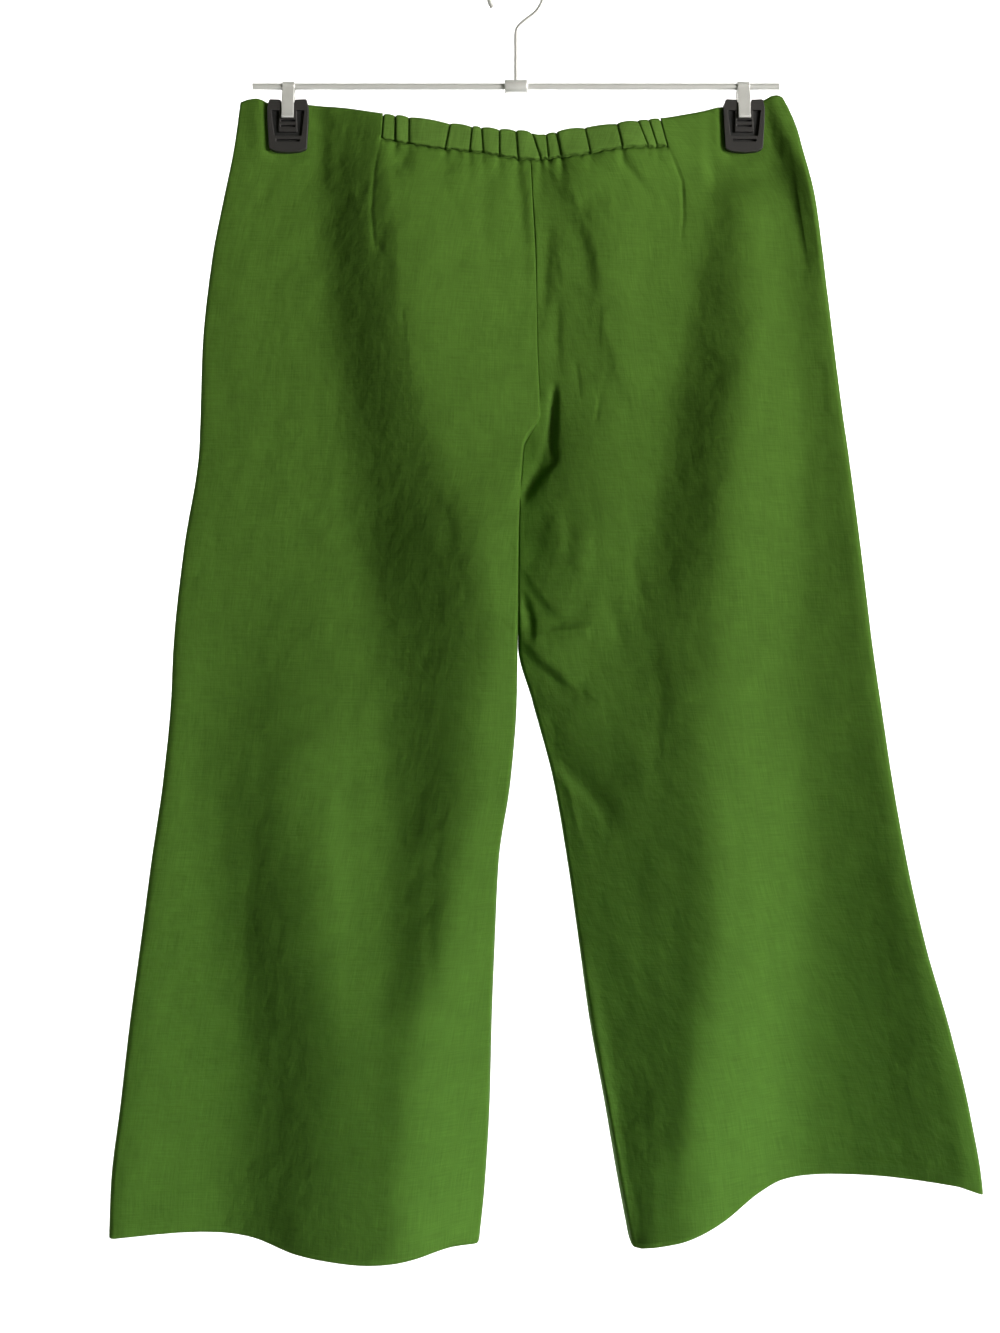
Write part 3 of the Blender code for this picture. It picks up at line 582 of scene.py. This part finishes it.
# ---- panels
# How a turned-in edge rounds over: (share of its width, share of its depth)
TURN_STOPS = ((0.0, 0.0), (0.01, 0.15), (0.04, 0.34), (0.1, 0.52), (0.19, 0.68), (0.32, 0.81),
              (0.48, 0.9), (0.68, 0.965), (1.0, 1.0))
# The columns in each zone between the turned-in edges, from the side seam inwards
BACK_ZONES = {"flap": 4, "clip": 10, "outer": 17, "outer_end": 1, "inner_start": 1, "inner": 88}
FRONT_ZONES = {"flap": 4, "clip": 10, "whole": 76}
# These lengths set the number of rows above the casing's seam, below it, and at the hem.
CASING_ROWS_LENGTH = 33.0
TOP_ROWS_LENGTH = 18.0
HEM_ROWS_LENGTH = 90.0
# Where a column's place is read, to find its seam and its hem
SEAM_READING = 36.0
HEM_READING = 850.0
# Each piece takes its weave from another part of the pattern, so far apart.
WEAVE_STEP = 400.0


def clip_line(side, edge, drop):
    """A panel line from a clip's outer side, where edge is 1, or its inner side, -1."""
    clip_x = side * (CLIP_SPACING / 2 + edge * PINCH_HALF_WIDTH)
    hem_x = side * (CLIP_LINE_HEM[side] + edge * CLIP_LINE_SPREAD)
    return along([(CLIP_LINE_START, clip_x), (LEFT_SECTIONS[-1][0], hem_x)], drop)


def panel_columns(is_back):
    """(zone, share) of each column from the side seam to the centre seam or inseam."""
    columns = [("side", stop) for stop in TURN_STOPS]
    for zone, count in (BACK_ZONES if is_back else FRONT_ZONES).items():
        columns += [(zone, (k + 1) / count) for k in range(count)]
    columns.pop()
    return columns + [("centre", stop) for stop in reversed(TURN_STOPS)]


def panel_points(side, is_back, column, drop):
    """(x, depth) of the outer face along a column, drop an array."""
    zone, share = column
    depth_of = back_depth if is_back else front_depth
    side_x, centre_x = edges(side, drop, is_back)
    side_depth = back_depth(side, side_x, drop) if is_back else front("side_d", drop)
    turn, inner_turn = side_turn(side_depth), centre_turn(drop, is_back)
    start, end = side_x - side * turn, centre_x + side * inner_turn
    if zone == "side":
        x = side_x - side * turn * share[0]
        return x, SEAM_GAP / 2 + (depth_of(side, start, drop) - SEAM_GAP / 2) * share[1]
    if zone == "centre":
        x = centre_x + side * inner_turn * share[0]
        read = (left if side < 0 else right) if is_back else front
        low = read("centre_d", drop) - SEAM_DIP * (drop < CROTCH_DROP)
        return x, low + (depth_of(side, end, drop) - low) * share[1]
    clip_out, clip_in = clip_line(side, 1, drop), clip_line(side, -1, drop)
    dart = along(LEFT_DART if side < 0 else RIGHT_DART, drop)
    beside, past = dart + side * DART_GROOVE, dart - side * DART_GROOVE
    spans = {"flap": (start, clip_out), "clip": (clip_out, clip_in), "outer": (clip_in, beside),
             "outer_end": (beside, dart), "inner_start": (dart, past), "inner": (past, end),
             "whole": (clip_in, end)}
    x = spans[zone][0] + (spans[zone][1] - spans[zone][0]) * share
    return x, depth_of(side, x, drop)


def row_drops(side, is_back, column, row_pitch):
    """The drops of a column's rows and how many of the first are above the casing's seam."""
    def x_at(drop):
        return float(panel_points(side, is_back, column, np.array([drop]))[0][0])

    hem = float(along(LEFT_HEM if side < 0 else RIGHT_HEM, x_at(HEM_READING)))
    waist = float(along(WAIST_LINE, x_at(0.0)))
    seam = float(seam_line(x_at(SEAM_READING))) + SEAM_GAP
    above, near = int(CASING_ROWS_LENGTH / row_pitch), int(TOP_ROWS_LENGTH / row_pitch)
    seat = int((CREASED_DROP - FIRST_LEVEL_ROW) / row_pitch)
    legs = int((LAST_LEVEL_ROW - CREASED_DROP) / row_pitch / 2)
    last = int(HEM_ROWS_LENGTH / row_pitch / 2)
    return np.concatenate([
        np.linspace(waist, seam - SEAM_GAP, above, endpoint=False),
        np.linspace(seam, FIRST_LEVEL_ROW, near, endpoint=False),
        np.linspace(FIRST_LEVEL_ROW, CREASED_DROP, seat, endpoint=False),
        np.linspace(CREASED_DROP, LAST_LEVEL_ROW, legs),
        np.linspace(LAST_LEVEL_ROW, hem, last + 1)[1:]]), above


def add_shell(node, x, depth, drop, keep, is_back, flip, thickness, material):
    """A thin cloth shell from arrays of columns by rows. keep says which points are there."""
    name = node + "_cloth"
    index = np.full(x.shape, -1)
    index[keep] = np.arange(keep.sum())
    y = -depth if is_back else depth
    points = np.stack([x, y, WAIST_Z - drop], -1)[keep] * MM
    a, b, c, d = index[:-1, :-1], index[1:, :-1], index[1:, 1:], index[:-1, 1:]
    quads = np.stack([a, b, c, d], -1).reshape(-1, 4)
    quads = quads[(quads >= 0).all(1)]
    if is_back != flip:
        quads = quads[:, ::-1]
    obj = mesh_object(name, points.tolist(), quads.tolist(), material)
    across = np.concatenate([np.zeros((1, x.shape[1])), np.cumsum(
        np.hypot(np.diff(x, axis=0), np.diff(depth, axis=0)), axis=0)])
    across = across + WEAVE_STEP * (len(name) + is_back)
    weave = np.stack([across, drop, np.zeros_like(drop)], -1)[keep]
    attribute = obj.data.attributes.new("weave", "FLOAT_VECTOR", "POINT")
    attribute.data.foreach_set("vector", weave.astype(np.float32).ravel())
    add_wall(obj, thickness)
    put_piece(obj, node)
    return obj


def add_panel(node, side, is_back, material):
    """A leg's panel. The back's leaves out what the casing covers."""
    grid = []
    for column in panel_columns(is_back):
        drop, above = row_drops(side, is_back, column, BACK_PITCH if is_back else FRONT_PITCH)
        x, depth = panel_points(side, is_back, column, drop)
        keep = np.ones(len(drop), bool)
        if is_back and column[0] in ("inner_start", "inner", "centre"):
            keep[:above] = False
        grid.append((x, depth, drop, keep))
    arrays = [np.array(values) for values in zip(*grid)]
    return add_shell(node, *arrays, is_back, side > 0, CLOTH, material)


# ---- the elastic casing
# The casing's ends and its creases
CASING_STOPS = (((LEFT_DART[0][1] + SEAM_GAP, LEFT_DART[1][1] + SEAM_GAP, 0.0),) + CREASES
                + ((RIGHT_DART[0][1] - SEAM_GAP, RIGHT_DART[1][1] - SEAM_GAP, 0.0),))
CASING_ROWS = 30
GATHER_COLUMNS = 18
# How much the grid's lines crowd towards the creases, and towards the top and the seam
COLUMN_CROWDING = 0.88
ROW_CROWDING = 0.7
# A gather this wide or wider has its full puff and scallop.
WIDE_GATHER = 12.0
# A gather's puff, as a share of its crease's depth
PUFF = 0.75
# How far a gather's middle stands above its creases, and their share of it below the waist
SCALLOP = 1.0
SCALLOP_BELOW = 0.6
# A crease is a sharp line in a wide dip, deeper at the seam.
CREASE_LINE = 0.6
SHARP_SHARE, WIDE_SHARE = 0.42, 0.2
SEAM_DEEPER, TOP_SHALLOWER = 1.15, 0.5
# The top is folded over. The lower edge and the ends roll in and are tucked under the panels.
TOP_ROLL, TOP_ROLL_WIDTH = 1.4, 1.3
TUCKED_ROLL, TUCKED_ROLL_WIDTH = 2.7, 0.7
TUCK, TUCK_DEPTH = 1.8, 0.6


def crowded(share, amount):
    """Even shares from 0 to 1, crowded towards both ends."""
    return share - amount * np.sin(2 * np.pi * share) / (2 * np.pi)


def casing_points():
    """Columns by rows of the casing's outer face, from its top down."""
    stops = np.array(CASING_STOPS)
    slots = np.arange((len(stops) - 1) * GATHER_COLUMNS + 1) / GATHER_COLUMNS
    k = np.minimum(slots.astype(int), len(stops) - 2)
    share = crowded((slots - k)[:, None], COLUMN_CROWDING)
    height = crowded(1 - np.arange(CASING_ROWS + 1)[None, :] / CASING_ROWS, ROW_CROWDING)
    top_a, low_a, deep_a = (stops[k, i][:, None] for i in range(3))
    top_b, low_b, deep_b = (stops[k + 1, i][:, None] for i in range(3))
    low_x, top_x = low_a + (low_b - low_a) * share, top_a + (top_b - top_a) * share
    x = low_x + (top_x - low_x) * height
    width = low_b - low_a
    fullness = np.minimum(width / WIDE_GATHER, 1.0)
    scallop = SCALLOP * fullness * (SCALLOP_BELOW - 4 * share * (1 - share))
    seam, waist = seam_line(low_x) - SEAM_GAP, along(WAIST_LINE, top_x) + scallop
    drop = seam + (waist - seam) * height
    dip = 0
    for away, deep in ((share * width, deep_a), ((1 - share) * width, deep_b)):
        dip = dip + deep * (SHARP_SHARE * bell(away / CREASE_LINE)
                            + WIDE_SHARE * bell(away / CREASE_WIDTH))
    dip = dip * (SEAM_DEEPER - TOP_SHALLOWER * height)
    puff = PUFF * deep_a * fullness * (1 - share) * (1 - np.exp(-share * width / CREASE_LINE))
    left_half = x < left("edge_x", drop)
    depth = np.where(left_half, fold_depth(-1, x, drop), fold_depth(1, x, drop))
    from_end = np.minimum(low_x - low_x[0], low_x[-1] - low_x)
    tucked = np.maximum(bell((drop - seam) / TUCKED_ROLL_WIDTH), bell(from_end / TUCKED_ROLL_WIDTH))
    rolled = TOP_ROLL * bell((drop - waist) / TOP_ROLL_WIDTH) + TUCKED_ROLL * tucked
    depth = depth + puff - dip - rolled
    x = np.vstack([x[:1] - TUCK, x, x[-1:] + TUCK])
    depth = np.vstack([depth[:1] - TUCK_DEPTH, depth, depth[-1:] - TUCK_DEPTH])
    drop = np.vstack([drop[:1], drop, drop[-1:]])
    x = np.hstack([x, x[:, -1:]])
    depth = np.hstack([depth, depth[:, -1:] - TUCK_DEPTH])
    drop = np.hstack([drop, drop[:, -1:] + TUCK])
    return x, depth, drop


def add_casing(material):
    x, depth, drop = casing_points()
    keep = np.ones(x.shape, bool)
    return add_shell("back_casing", x, depth, drop, keep, True, False, CASING_CLOTH, material)


# ---- the hanger
HOOK_NECK = 9.0
# How the wire bends from the neck into the bow: (x, height above the neck's top)
HOOK_BEND = ((1.6, 4.0), (5.2, 7.6))
# The bow's first and last angle, in degrees
HOOK_START, HOOK_END = -62.0, 212.0
HOOK_STEPS = 22
HOOK_ROUNDING = 3.0
FERRULE_CORNER = 1.0
FERRULE_SIDES = 48
# A rounded corner takes up no more than this share of a leg.
LEG_SHARE = 0.45


def add_rod(name, points, diameter, material, node):
    curve = bpy.data.curves.new(name, "CURVE")
    curve.dimensions = "3D"
    curve.bevel_depth = diameter / 2 * MM
    curve.bevel_resolution = 8
    curve.use_fill_caps = True
    spline = curve.splines.new("POLY")
    spline.points.add(len(points) - 1)
    for stop, point in zip(spline.points, points):
        stop.co = (*[c * MM for c in point], 1.0)
    curve.materials.append(material)
    put_piece(bpy.data.objects.new(name, curve), node)


def rounded_corner(before, corner, after, reach, count):
    """The stops of a short curve in place of a corner."""
    back, ahead = before - corner, after - corner
    first = corner + back.normalized() * min(reach, back.length * LEG_SHARE)
    last = corner + ahead.normalized() * min(reach, ahead.length * LEG_SHARE)
    shares = [k / count for k in range(count + 1)]
    return [first * (1 - t) ** 2 + corner * 2 * t * (1 - t) + last * t * t for t in shares]


def rounded_route(points, reach, count):
    """A route with each corner rounded by a short curve."""
    points = [Vector(p) for p in points]
    route = [points[0]]
    for before, corner, after in zip(points, points[1:], points[2:]):
        route += rounded_corner(before, corner, after, reach, count)
    return route + [points[-1]]


def hook_route():
    """The hook's wire, from its foot on the ferrule up round the rail."""
    radius = HOOK_INNER_RADIUS + HOOK_WIRE / 2
    centre_z = -HOOK_INNER_RADIUS
    foot = BAR_Z + FERRULE_DIAMETER / 2 + GAP
    neck = centre_z - radius - HOOK_NECK
    route = [(0, 0, foot), (0, 0, neck)] + [(x, 0, neck + rise) for x, rise in HOOK_BEND]
    for k in range(HOOK_STEPS + 1):
        angle = radians(HOOK_START + (HOOK_END - HOOK_START) * k / HOOK_STEPS)
        route.append((radius * cos(angle), 0, centre_z + radius * sin(angle)))
    return rounded_route(route, HOOK_ROUNDING, 4)


def add_ferrule(material):
    """A turned sleeve on the bar: a profile of (radius, x) spun round it."""
    inner, outer, half = BAR_DIAMETER / 2 + GAP, FERRULE_DIAMETER / 2, FERRULE_LENGTH / 2
    turns = [radians(90 * k / 5) for k in range(6)]
    core, rim = outer - FERRULE_CORNER, half - FERRULE_CORNER
    profile = [(inner, half)]
    profile += [(core + FERRULE_CORNER * sin(a), rim + FERRULE_CORNER * cos(a)) for a in turns]
    profile += [(core + FERRULE_CORNER * cos(a), -rim - FERRULE_CORNER * sin(a)) for a in turns]
    profile += [(inner, -half)]
    verts, faces = [], []
    for i in range(FERRULE_SIDES):
        angle = 2 * pi * i / FERRULE_SIDES
        verts += [(x * MM, r * cos(angle) * MM, (BAR_Z + r * sin(angle)) * MM) for r, x in profile]
    count = len(profile)
    for i in range(FERRULE_SIDES):
        here, there = i * count, (i + 1) % FERRULE_SIDES * count
        for j in range(count):
            after = (j + 1) % count
            faces.append((here + j, here + after, there + after, there + j))
    sleeve = mesh_object("hanger_ferrule_turned", verts, faces, material)
    face_out(sleeve)
    put_piece(sleeve, "hanger_ferrule")


# ---- the clips
# Heights and widths on a jaw's face, in millimetres from the middle of its top edge.
JAW_TAPER = 1.5
JAW_NOTCH_PLAY = 0.4
JAW_ROUNDING = 1.6
# The base plate, the plates' edges, and how far the others sink into the base
JAW_BASE = 1.7
JAW_EDGE = 0.35
JAW_OVERLAP = 0.2
RECESS_TOP, RECESS_BOTTOM = -8.6, -28.6
RECESS_HALF_TOP, RECESS_HALF_BOTTOM = 12.9, 10.6
TONGUE_TOP, TONGUE_BOTTOM = -4.6, -25.4
TONGUE_HALF_TOP, TONGUE_HALF_BOTTOM = 6.6, 7.3
TONGUE_SLOTS = (-16.8, -21.0)
TONGUE_SLOT_HALF, TONGUE_SLOT_HEIGHT = 5.7, 1.7
SLOT_DROP, SLOT_HALF, SLOT_HEIGHT = -32.2, 9.3, 2.0
TONGUE_SETBACK = 0.15
SHARP_ANGLE = 35.0
# The bead into which each end of a spring is rolled
SPRING_BEAD = 1.3


def rounded_ring(corners, reach, count=5):
    """A closed ring with each of its corners rounded."""
    corners = [Vector(corner) for corner in corners]
    ring = []
    for i, corner in enumerate(corners):
        after = corners[(i + 1) % len(corners)]
        ring += rounded_corner(corners[i - 1], corner, after, reach, count)
    return ring


def taper_ring(half_top, top, half_bottom, bottom, reach):
    """A level bar that may be wider at one end than at the other."""
    return rounded_ring([(-half_top, top), (half_top, top), (half_bottom, bottom),
                         (-half_bottom, bottom)], reach)


def slot_ring(half, middle, height, reach):
    low, high = middle - height / 2, middle + height / 2
    return taper_ring(half, high, half, low, reach)


def jaw_outline():
    """A jaw seen from its face, with its notch, its tapering sides and its foot."""
    half, notch = CLIP_WIDTH / 2, CLIP_NOTCH_WIDTH / 2 + JAW_NOTCH_PLAY
    foot = half - JAW_TAPER
    right_side = [(notch, -CLIP_NOTCH_DEPTH), (notch, -0.4), (half - 1.4, 0), (half, -7),
                  (half - 0.2, -18), (foot, -CLIP_HEIGHT + 3), (foot - 5, -CLIP_HEIGHT + 0.9)]
    left_side = [(-x, z) for x, z in reversed(right_side)]
    return rounded_ring(right_side + [(0, -CLIP_HEIGHT + 0.1)] + left_side, JAW_ROUNDING)


def add_plate(bm, rings, near, far, clip_x, face, finish=0):
    """A soft-edged flat plate with holes, between two distances from the seams' plane."""
    curve = bpy.data.curves.new("plate", "CURVE")
    curve.dimensions = "2D"
    curve.fill_mode = "BOTH"
    curve.bevel_depth = JAW_EDGE * MM
    curve.bevel_resolution = 2
    curve.extrude = ((far - near) / 2 - JAW_EDGE) * MM
    curve.offset = -JAW_EDGE * MM
    for ring in rings:
        spline = curve.splines.new("POLY")
        spline.points.add(len(ring) - 1)
        for stop, (x, z) in zip(spline.points, ring):
            stop.co = (x * MM, z * MM, 0, 1)
        spline.use_cyclic_u = True
    obj = bpy.data.objects.new("plate", curve)
    obj.location = (clip_x * MM, face * (near + far) / 2 * MM, (WAIST_Z - CLIP_TOP_DROP) * MM)
    obj.rotation_euler = (pi / 2, 0, 0)
    put(obj)
    bpy.context.view_layer.update()
    mesh = bpy.data.meshes.new_from_object(obj.evaluated_get(bpy.context.evaluated_depsgraph_get()))
    mesh.transform(obj.matrix_world)
    already = len(bm.faces)
    bm.from_mesh(mesh)
    bm.faces.ensure_lookup_table()
    for one in bm.faces[already:]:
        one.material_index = finish
    bpy.data.objects.remove(obj)
    bpy.data.meshes.remove(mesh)


def add_jaw(node, clip_x, face, plastic, painted_shade_plastic):
    """A moulded jaw: a base plate, a raised face round a U-shaped recess, and its tongue."""
    outline = jaw_outline()
    slot = slot_ring(SLOT_HALF, SLOT_DROP, SLOT_HEIGHT, 0.8)
    recess = taper_ring(RECESS_HALF_TOP, RECESS_TOP, RECESS_HALF_BOTTOM, RECESS_BOTTOM, 1.0)
    tongue = taper_ring(TONGUE_HALF_TOP, TONGUE_TOP, TONGUE_HALF_BOTTOM, TONGUE_BOTTOM, 0.8)
    slots = [slot_ring(TONGUE_SLOT_HALF, z, TONGUE_SLOT_HEIGHT, 0.4) for z in TONGUE_SLOTS]
    inner = PINCH_DEPTH + GAP
    base, outer = inner + JAW_BASE, inner + CLIP_THICKNESS
    bm = bmesh.new()
    # The base plate, seen in the recess and through the slots, is near black: painted shade for the
    # recess's floor.
    add_plate(bm, [outline], inner, base, clip_x, face, 1)
    add_plate(bm, [outline, recess, slot], base - JAW_OVERLAP, outer, clip_x, face)
    add_plate(bm, [tongue] + slots, base - JAW_OVERLAP, outer - TONGUE_SETBACK, clip_x, face)
    mesh = bpy.data.meshes.new(node + "_moulded")
    bm.to_mesh(mesh)
    bm.free()
    mesh.materials.append(plastic)
    mesh.materials.append(painted_shade_plastic)
    mesh.set_sharp_from_angle(angle=radians(SHARP_ANGLE))
    put_piece(bpy.data.objects.new(node + "_moulded", mesh), node)


def arc(radius, first, last, step):
    """(y, z) stops on a round, in degrees from -Y up over the top."""
    angles = [radians(a) for a in range(first, last + 1, step)]
    return [(-radius * cos(a), radius * sin(a)) for a in angles]


def add_spring(node, clip_x, material):
    """The U spring over the bar; each of its ends is rolled into a bead."""
    loop = BAR_DIAMETER / 2 + GAP + SPRING_THICKNESS
    flat = PINCH_DEPTH + GAP + CLIP_THICKNESS + GAP + SPRING_THICKNESS
    jaw_top = WAIST_Z - CLIP_TOP_DROP
    end_z = WAIST_Z - SPRING_END_DROP + SPRING_BEAD
    side = [(-flat + y, end_z + z) for y, z in arc(SPRING_BEAD, -90, 60, 15)]
    side += [(-flat, end_z + 2 * SPRING_BEAD), (-flat, jaw_top - 2.0), (-flat + 0.2, jaw_top + 1.0)]
    turn = [(y, BAR_Z + z) for y, z in arc(loop, -25, 195, 11)]
    route = side + turn + [(-y, z) for y, z in reversed(side)]
    half = SPRING_WIDTH / 2
    verts = [((clip_x + x) * MM, y * MM, z * MM) for y, z in route
             for x in (-half, -half + 0.5, half - 0.5, half)]
    faces = [(4 * i + j, 4 * i + j + 1, 4 * i + j + 5, 4 * i + j + 4)
             for i in range(len(route) - 1) for j in range(3)]
    obj = mesh_object(node + "_strip", verts, faces, material)
    add_wall(obj, SPRING_THICKNESS)
    put_piece(obj, node)


# ---- materials

def principled(name):
    """A new material and its shader."""
    material = bpy.data.materials.new(name)
    material.use_nodes = True
    return material, material.node_tree.nodes["Principled BSDF"]


def give(node, **values):
    """Set sockets by name, with _ for a space."""
    for name, value in values.items():
        node.inputs[name.replace("_", " ")].default_value = value


def plain(name, colour, roughness, metallic=0.0):
    material, shader = principled(name)
    give(shader, Base_Color=(*colour, 1), Roughness=roughness, Metallic=metallic)
    return material


def linen_material(name, colour):
    """Plain-woven linen: threads both ways, thick slubs and a light mottle."""
    material, shader = principled(name)
    nodes, links = material.node_tree.nodes, material.node_tree.links
    place = nodes.new("ShaderNodeAttribute")
    place.attribute_name = "weave"

    def noise(scale, detail, stretch):
        mapping = nodes.new("ShaderNodeMapping")
        give(mapping, Scale=stretch)
        links.new(place.outputs["Vector"], mapping.inputs["Vector"])
        texture = nodes.new("ShaderNodeTexNoise")
        give(texture, Scale=scale, Detail=detail)
        links.new(mapping.outputs["Vector"], texture.inputs["Vector"])
        return texture.outputs["Fac"]

    def blend(operation, *values):
        node = nodes.new("ShaderNodeMath")
        node.operation = operation
        for socket, value in zip(node.inputs, values):
            if isinstance(value, float):
                socket.default_value = value
            else:
                links.new(value, socket)
        return node.outputs[0]

    down = noise(1.0, 2.0, (1.5, 0.045, 1))
    across = noise(1.0, 2.0, (0.045, 1.5, 1))
    slubs = noise(1.0, 1.0, (0.7, 0.03, 1))
    mottle = noise(0.05, 4.0, (1, 0.8, 1))
    threads = blend("ADD", down, across)
    tone = blend("MULTIPLY_ADD", threads, 0.5, 0.3)
    tone = blend("MULTIPLY_ADD", slubs, 0.16, tone)
    tone = blend("MULTIPLY_ADD", mottle, 0.24, tone)
    mix = nodes.new("ShaderNodeMix")
    mix.data_type = "RGBA"
    mix.blend_type = "MULTIPLY"
    give(mix, Factor=1.0, A=(*colour, 1))
    links.new(tone, mix.inputs["B"])
    links.new(mix.outputs["Result"], shader.inputs["Base Color"])
    give(shader, Roughness=0.75, Specular_IOR_Level=0.03)

    def bump(height, distance, before=None):
        node = nodes.new("ShaderNodeBump")
        give(node, Strength=1.0, Distance=distance * MM)
        links.new(height, node.inputs["Height"])
        if before:
            links.new(before, node.inputs["Normal"])
        return node.outputs["Normal"]

    crumple = bump(noise(0.032, 4.0, (1, 0.85, 1)), 3.4)
    dent = bump(noise(0.12, 2.0, (1, 1, 1)), 0.3, crumple)
    links.new(bump(threads, 0.09, dent), shader.inputs["Normal"])
    return material


# ---- camera and light
# Places and sizes here are in metres, and powers in watts.
WARM, COOL, WHITE = (1, 0.97, 0.92), (0.75, 1, 1), (1, 1, 1)
# Each lamp's name, place, target, size, power, colour and spread in degrees
LAMPS = (
    ("key", (6.9, -4.3, -0.6), (0, 0, -0.6), 2.4, 560, WARM, 180),
    ("low", (2.9, -2.6, -1.8), (0, 0, -1.35), 0.9, 3.9, COOL, 30),
    ("high", (1.9, -1.7, 0.25), (0, 0, 0.05), 0.8, 1.35, WARM, 26),
    ("front_side", (-1.75, 2.3, 0.3), (0, 0, -0.55), 0.5, 5, WARM, 60),
    ("backdrop_left", (-2.0, 0.7, 0.9), (-0.3, 2.4, -0.8), 1.5, 70, WHITE, 110),
    ("backdrop_right", (2.0, 0.7, 0.9), (0.3, 2.4, -0.8), 1.5, 70, WHITE, 110),
)
FILL_COLOUR = (0.85, 1, 0.3, 1)
FILL_STRENGTH = 0.035
FLOOR_Z = -2.3
FLOOR_FRONT_Y = -6.0
FLOOR_HALF_WIDTH = 7.0
SWEEP_Y = 1.6
SWEEP_RADIUS = 0.8
BACKDROP_TOP_Z = 4.0


def add_camera():
    data = bpy.data.cameras.new("photo_camera")
    data.sensor_fit = "VERTICAL"
    data.sensor_height = SENSOR
    data.lens = SENSOR * CAMERA_DISTANCE / (PHOTO_HEIGHT * PHOTO_SCALE)
    camera = bpy.data.objects.new("photo_camera", data)
    camera.location = (CAMERA_X * MM, -CAMERA_DISTANCE * MM, (WAIST_Z - CAMERA_DROP) * MM)
    camera.rotation_euler = (pi / 2, 0, 0)
    put(camera)
    bpy.context.scene.camera = camera


def add_lamp(name, place, target, size, power, colour, spread):
    data = bpy.data.lights.new(name, "AREA")
    data.shape = "DISK"
    data.size = size
    data.energy = power
    data.color = colour
    data.spread = radians(spread)
    lamp = bpy.data.objects.new(name, data)
    lamp.location = place
    lamp.rotation_euler = (Vector(target) - Vector(place)).to_track_quat("-Z", "Y").to_euler()
    put(lamp)


def add_stage():
    """A plain pale floor that sweeps up into a backdrop."""
    route = [(FLOOR_FRONT_Y, FLOOR_Z), (SWEEP_Y, FLOOR_Z)]
    route += [(SWEEP_Y + SWEEP_RADIUS * sin(a), FLOOR_Z + SWEEP_RADIUS * (1 - cos(a)))
              for a in (radians(d) for d in range(6, 91, 6))]
    route += [(SWEEP_Y + SWEEP_RADIUS, BACKDROP_TOP_Z)]
    verts = [(x, y, z) for y, z in route for x in (-FLOOR_HALF_WIDTH, FLOOR_HALF_WIDTH)]
    faces = [(2 * i, 2 * i + 1, 2 * i + 3, 2 * i + 2) for i in range(len(route) - 1)]
    floor = mesh_object("studio_floor", verts, faces, plain("studio_white", (0.8, 0.8, 0.8), 0.9))
    face_out(floor)
    put(floor)


def add_world():
    """A faint fill from all round."""
    world = bpy.data.worlds.new("studio")
    world.use_nodes = True
    give(world.node_tree.nodes["Background"], Color=FILL_COLOUR, Strength=FILL_STRENGTH)
    bpy.context.scene.world = world


# ---- the whole
SIDES = ((-1, "left"), (1, "right"))
LINEN_COLOUR = (0.068, 0.144, 0.020)
# The casing's linen is the same linen painted lighter: painted light on the casing.
CASING_PAINTED_LIGHT_COLOUR = (0.084, 0.166, 0.028)


def main():
    linen = linen_material("linen_weave", LINEN_COLOUR)
    # A lighter copy of the linen for the casing, painted light.
    painted_light_linen = linen_material("linen_painted_lighter", CASING_PAINTED_LIGHT_COLOUR)
    steel = plain("bright_steel", (0.86, 0.86, 0.85), 0.35, 0.45)
    plastic = plain("moulded_plastic", (0.034, 0.032, 0.032), 0.4)
    # Near-black plastic for the jaws' base plates: painted shade in the recesses and slots.
    painted_shade_plastic = plain("plastic_painted_shade", (0.006, 0.006, 0.006), 0.7)
    for side, word in SIDES:
        for node, is_back in (("back_" + word, True), ("front_" + word, False)):
            panel = add_panel(node, side, is_back, linen)
    casing = add_casing(painted_light_linen)
    add_rod("hanger_bar_round", [(-BAR_HALF_LENGTH, 0, BAR_Z), (BAR_HALF_LENGTH, 0, BAR_Z)],
            BAR_DIAMETER, steel, "hanger_bar")
    add_rod("hanger_hook_round", hook_route(), HOOK_WIRE, steel, "hanger_hook")
    add_ferrule(steel)
    for side, word in SIDES:
        clip_x = side * CLIP_SPACING / 2
        add_jaw("clip_" + word + "_jaw_back", clip_x, -1, plastic, painted_shade_plastic)
        add_jaw("clip_" + word + "_jaw_front", clip_x, 1, plastic, painted_shade_plastic)
        add_spring("clip_" + word + "_spring", clip_x, steel)
    add_camera()
    add_stage()
    for lamp in LAMPS:
        add_lamp(*lamp)
    add_world()


main()
bpy.context.scene.view_settings.view_transform = "Standard"
